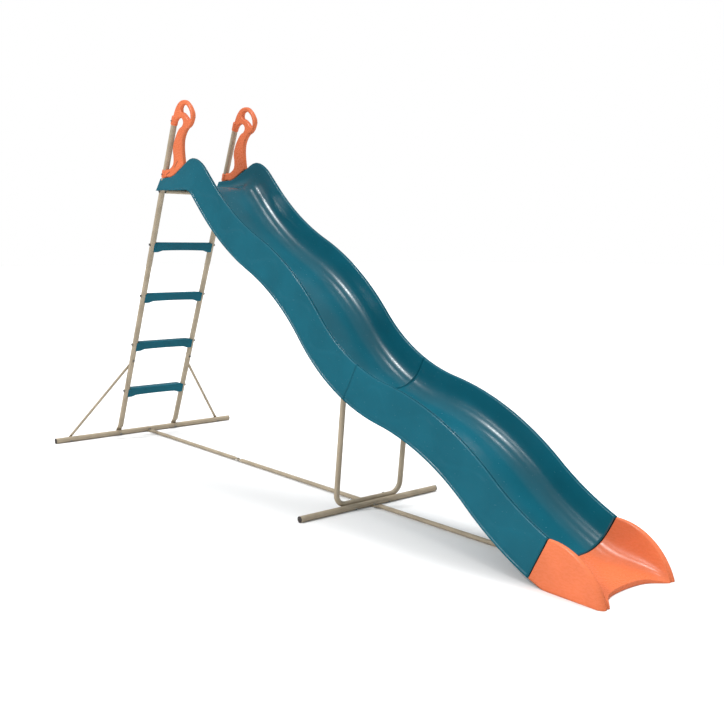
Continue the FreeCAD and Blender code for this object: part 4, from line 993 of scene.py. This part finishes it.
class SLIDE_OT_handles(bpy.types.Operator):
    """Loop handles, each with a sleeve over the rail's top and a ring round the rail"""
    bl_idname = "slide.handles"
    bl_label = "Handles"

    def execute(self, context):
        settings = context.scene.wave_slide
        crest = slide_points(settings)[0]
        sizes = settings.handle
        rim_z = crest.z + settings.deck.wall
        origin_x = rail_at(rim_z)
        outline = handle_outline(settings, origin_x, rim_z, crest)
        flat = handle_plate(settings, outline)
        upright = Matrix.Rotation(math.radians(90.0), 3, "X")
        rail_y = rail_tube()[1]
        for name, side in SIDES.items():
            bm = bmesh.new()
            bm.from_mesh(flat)
            bmesh.ops.rotate(bm, verts=bm.verts, cent=(0, 0, 0), matrix=upright)
            middle = Vector((0.0, side * rail_y, 0.0))
            bmesh.ops.translate(bm, verts=bm.verts, vec=middle + Vector((origin_x, 0.0, rim_z)))
            bmesh.ops.remove_doubles(bm, verts=bm.verts[:], dist=0.00005)
            for rise_low, rise_high, rounding in SLEEVES:
                start = Vector((rail_at(rim_z + rise_low), 0.0, rim_z + rise_low)) + middle
                end = Vector((rail_at(rim_z + rise_high), 0.0, rim_z + rise_high)) + middle
                add_rod(bm, start, end, sizes.sleeve, rounding)
            piece = finish_mesh(bm, "handle_%s_grip" % name,
                                orange(settings.finish), 60.0)
            even = piece.modifiers.new("Even shading", "WEIGHTED_NORMAL")
            even.keep_sharp = True
            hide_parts("handle_" + name)
            slots = bmesh.new()
            for (run_a, rise_a), (run_b, rise_b) in HANDLE_SLOTS:
                face_y = side * (rail_y + sizes.half_thick - 0.0012)
                start = Vector((origin_x + run_a, face_y, rim_z + rise_a))
                end = Vector((origin_x + run_b, face_y, rim_z + rise_b))
                along_slot = end - start
                before = set(slots.verts)
                bmesh.ops.create_cube(slots, size=1.0)
                fresh = [v for v in slots.verts if v not in before]
                bmesh.ops.scale(slots, verts=fresh, vec=(along_slot.length, 0.003, 0.006))
                lift = math.atan2(along_slot.z, along_slot.x)
                tilt = Matrix.Rotation(-lift, 3, ACROSS)
                bmesh.ops.rotate(slots, verts=fresh, cent=(0, 0, 0), matrix=tilt)
                bmesh.ops.translate(slots, verts=fresh, vec=(start + end) / 2.0)
            bmesh.ops.bevel(slots, geom=slots.edges[:], offset=0.0012, offset_type="OFFSET", segments=2,
                            profile=0.5, affect="EDGES", material=-1)
            # Orange darkened to about a third: painted shade standing in for the slots' recesses
            slot_painted_shade = moulded_plastic("Dark orange slot", scaled(settings.finish.orange, 0.35), 0.5)
            finish_mesh(slots, "handle_%s_slots" % name, slot_painted_shade, 40.0, 0.0)
        bpy.data.meshes.remove(flat)
        return {"FINISHED"}


# ---- step operator
class SLIDE_OT_steps(bpy.types.Operator):
    """Moulded steps with an arched front that laps the rails"""
    bl_idname = "slide.steps"
    bl_label = "Steps"

    def execute(self, context):
        settings = context.scene.wave_slide
        sizes = settings.step
        lean = rail_line()[1]
        rail_axis = Vector((lean, 0.0, 1.0)).normalized()
        rail_front = Vector((rail_axis.z, 0.0, -rail_axis.x))
        radius, rail_y = rail_tube()
        inside = rail_y - radius - 0.0005
        for number in range(1, 5):
            node = "step_%d" % number
            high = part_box(node)[1]
            nose = Vector((high[0], 0.0, high[2]))
            skirt = nose - rail_axis * (sizes.front / rail_axis.z)
            rear = nose - Vector((STEP_DEPTH, 0.0, 0.0))
            corners = [skirt, nose, rear, rear - UP * STEP_REAR]
            bm = bmesh.new()
            chain = rounded_chain(bm, corners, [0.0, 0.007, 0.007, 0.0], 5)
            tall = [e for e in chain if e.calc_length() > 0.03]
            bmesh.ops.subdivide_edges(bm, edges=tall, cuts=6)
            bmesh.ops.translate(bm, verts=bm.verts, vec=(0.0, -sizes.half, 0.0))
            edges = list(bm.edges)
            for strip in range(STEP_STRIPS):
                verts, edges = extrude(bm, edges)
                bmesh.ops.translate(bm, verts=verts, vec=(0.0, 2.0 * sizes.half / STEP_STRIPS, 0.0))
            rail_plane = Vector((rail_at(nose.z), 0.0, nose.z))
            for vert in bm.verts:
                ahead = (vert.co - rail_plane).dot(rail_front)
                if ahead < radius and abs(vert.co.y) > inside:
                    vert.co.y = math.copysign(inside, vert.co.y)
                if ahead >= radius:
                    below = (nose.z - vert.co.z) / sizes.front
                    free = sizes.half - sizes.foot - abs(vert.co.y)
                    lift = sizes.arch * (0.62 * ramp(free - 0.014, 0.034)
                                         + 0.38 * max(0.0, 1.0 - (vert.co.y / sizes.half) ** 2)
                                         * ramp(free, 0.02))
                    vert.co += rail_axis * lift * below
            piece = finish_mesh(bm, node + "_tread", teal(settings.finish), 40.0, 0.0002)
            turn_outwards(piece, (nose + rear) / 2.0)
            thicken(piece, sizes.thick)
            soften(piece, 0.0012, 2)
            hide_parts(node)
        return {"FINISHED"}


# ---- metal, paint and studio
class SLIDE_OT_frame_finishes(bpy.types.Operator):
    """Paint on the tubes, zinc on the fasteners and plastic on the end plugs"""
    bl_idname = "slide.frame_finishes"
    bl_label = "Frame finishes"

    def execute(self, context):
        finish = context.scene.wave_slide.finish
        materials = {
            "tube_paint": powder_coat("Beige powder coat", finish.beige),
            "fastener_steel": zinc_plate("Zinc plate", finish.zinc),
            "plug_plastic": plug_plastic("Dark plug plastic", finish.plug),
            "chute_plastic": teal(finish),
            "accent_plastic": orange(finish),
        }
        slots = {part["node"]: part["material_slot"] for part in frame["record"]["subparts"]}
        for node, piece in frame["nodes"].items():
            material = materials[slots[node]]
            if not piece.material_slots:
                piece.data.materials.append(material)
            for slot in piece.material_slots:
                slot.material = material
        return {"FINISHED"}


def soft_sun(name, strength, spread, direction):
    """Distant soft light that comes from a direction."""
    data = bpy.data.lights.new(name, "SUN")
    data.energy = strength
    data.angle = math.radians(spread)
    light = bpy.data.objects.new(name, data)
    bpy.context.scene.collection.objects.link(light)
    light.rotation_euler = Vector(direction).to_track_quat("Z", "Y").to_euler()
    return light


def even_world(zenith, horizon, shine):
    """White backdrop whose light is strongest from above, and weak in reflections."""
    world = bpy.data.worlds.new("Even light")
    world.use_nodes = True
    tree = world.node_tree
    background = tree.nodes["Background"]
    background.inputs["Color"].default_value = (1.0, 1.0, 1.0, 1.0)
    place = tree.nodes.new("ShaderNodeTexCoord")
    split = tree.nodes.new("ShaderNodeSeparateXYZ")
    tree.links.new(place.outputs["Generated"], split.inputs[0])
    path = tree.nodes.new("ShaderNodeLightPath")

    def choose(factor, low, high):
        mix = tree.nodes.new("ShaderNodeMapRange")
        tree.links.new(factor, mix.inputs["Value"])
        for socket, value in (("To Min", low), ("To Max", high)):
            if isinstance(value, float):
                mix.inputs[socket].default_value = value
            else:
                tree.links.new(value, mix.inputs[socket])
        return mix.outputs[0]

    light = choose(split.outputs["Z"], horizon, zenith)
    dim = choose(split.outputs["Z"], horizon * shine, zenith * shine)
    light = choose(path.outputs["Is Glossy Ray"], light, dim)
    light = choose(path.outputs["Is Camera Ray"], light, 1.0)
    tree.links.new(light, background.inputs["Strength"])
    return world


class SLIDE_OT_stage(bpy.types.Operator):
    """Pale floor, soft lights and the camera"""
    bl_idname = "slide.stage"
    bl_label = "Stage"

    def execute(self, context):
        settings = context.scene.wave_slide
        studio = settings.studio
        scene = context.scene
        bm = bmesh.new()
        bmesh.ops.create_grid(bm, x_segments=2, y_segments=2, size=60.0)
        mesh = bpy.data.meshes.new("floor")
        bm.to_mesh(mesh)
        bm.free()
        floor = bpy.data.objects.new("floor", mesh)
        scene.collection.objects.link(floor)
        mesh.materials.append(pale_floor("Pale floor", settings.finish.floor))
        floor.location.z = -0.0005
        floor.visible_glossy = False
        scene.world = even_world(studio.sky, studio.horizon, studio.shine)
        scene.view_settings.view_transform = "Standard"
        for name, setting, spread, direction in SUNS:
            light = soft_sun(name, getattr(studio, setting), spread, direction)
            light.visible_glossy = setting != "key"
        low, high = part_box("ladder_foot_bar")
        start = Vector(((low[0] + high[0]) / 2.0, 0.0, 0.0))
        data = bpy.data.cameras.new("Camera")
        data.lens = studio.lens
        data.sensor_width = 36.0
        data.clip_end = 200.0
        camera = bpy.data.objects.new("Camera", data)
        scene.collection.objects.link(camera)
        camera.location = start + Vector(studio.camera_reach)
        camera.rotation_euler = (math.radians(90.0 - studio.elevation), 0.0, math.radians(studio.azimuth))
        scene.camera = camera
        return {"FINISHED"}


class SLIDE_PT_panel(bpy.types.Panel):
    """Sizes, colours and the building steps of the slide"""
    bl_idname = "SLIDE_PT_panel"
    bl_label = "Wave slide"
    bl_space_type = "VIEW_3D"
    bl_region_type = "UI"
    bl_category = "Wave slide"

    def draw(self, context):
        layout = self.layout
        settings = context.scene.wave_slide
        for group in ("chute", "deck", "wave", "run_out", "step", "handle", "finish", "studio"):
            box = layout.box()
            box.label(text=group.replace("_", " ").capitalize())
            values = getattr(settings, group)
            for name in values.bl_rna.properties.keys():
                if name not in {"rna_type", "name"}:
                    box.prop(values, name)
        for operator in OPERATORS:
            layout.operator(operator.bl_idname)


GROUPS = (ChuteSettings, DeckSettings, WaveSettings, ExitSettings, StepSettings, HandleSettings,
          FinishSettings, StudioSettings, SlideSettings)
OPERATORS = (SLIDE_OT_upper_chute, SLIDE_OT_lower_chute, SLIDE_OT_joint_flanges, SLIDE_OT_joint_tongues,
             SLIDE_OT_exit, SLIDE_OT_handles, SLIDE_OT_steps, SLIDE_OT_frame_finishes, SLIDE_OT_stage)


def register():
    for item in GROUPS + OPERATORS + (SLIDE_PT_panel,):
        bpy.utils.register_class(item)
    bpy.types.Scene.wave_slide = PointerProperty(type=SlideSettings)


def unregister():
    del bpy.types.Scene.wave_slide
    for item in reversed(GROUPS + OPERATORS + (SLIDE_PT_panel,)):
        bpy.utils.unregister_class(item)


def main():
    """Builds the slide and its studio."""
    register()
    bpy.ops.slide.upper_chute()
    bpy.ops.slide.lower_chute()
    bpy.ops.slide.joint_flanges()
    bpy.ops.slide.joint_tongues()
    bpy.ops.slide.exit()
    bpy.ops.slide.handles()
    bpy.ops.slide.steps()
    bpy.ops.slide.frame_finishes()
    bpy.ops.slide.stage()
    bpy.context.view_layer.update()


if __name__ == "__main__":
    main()
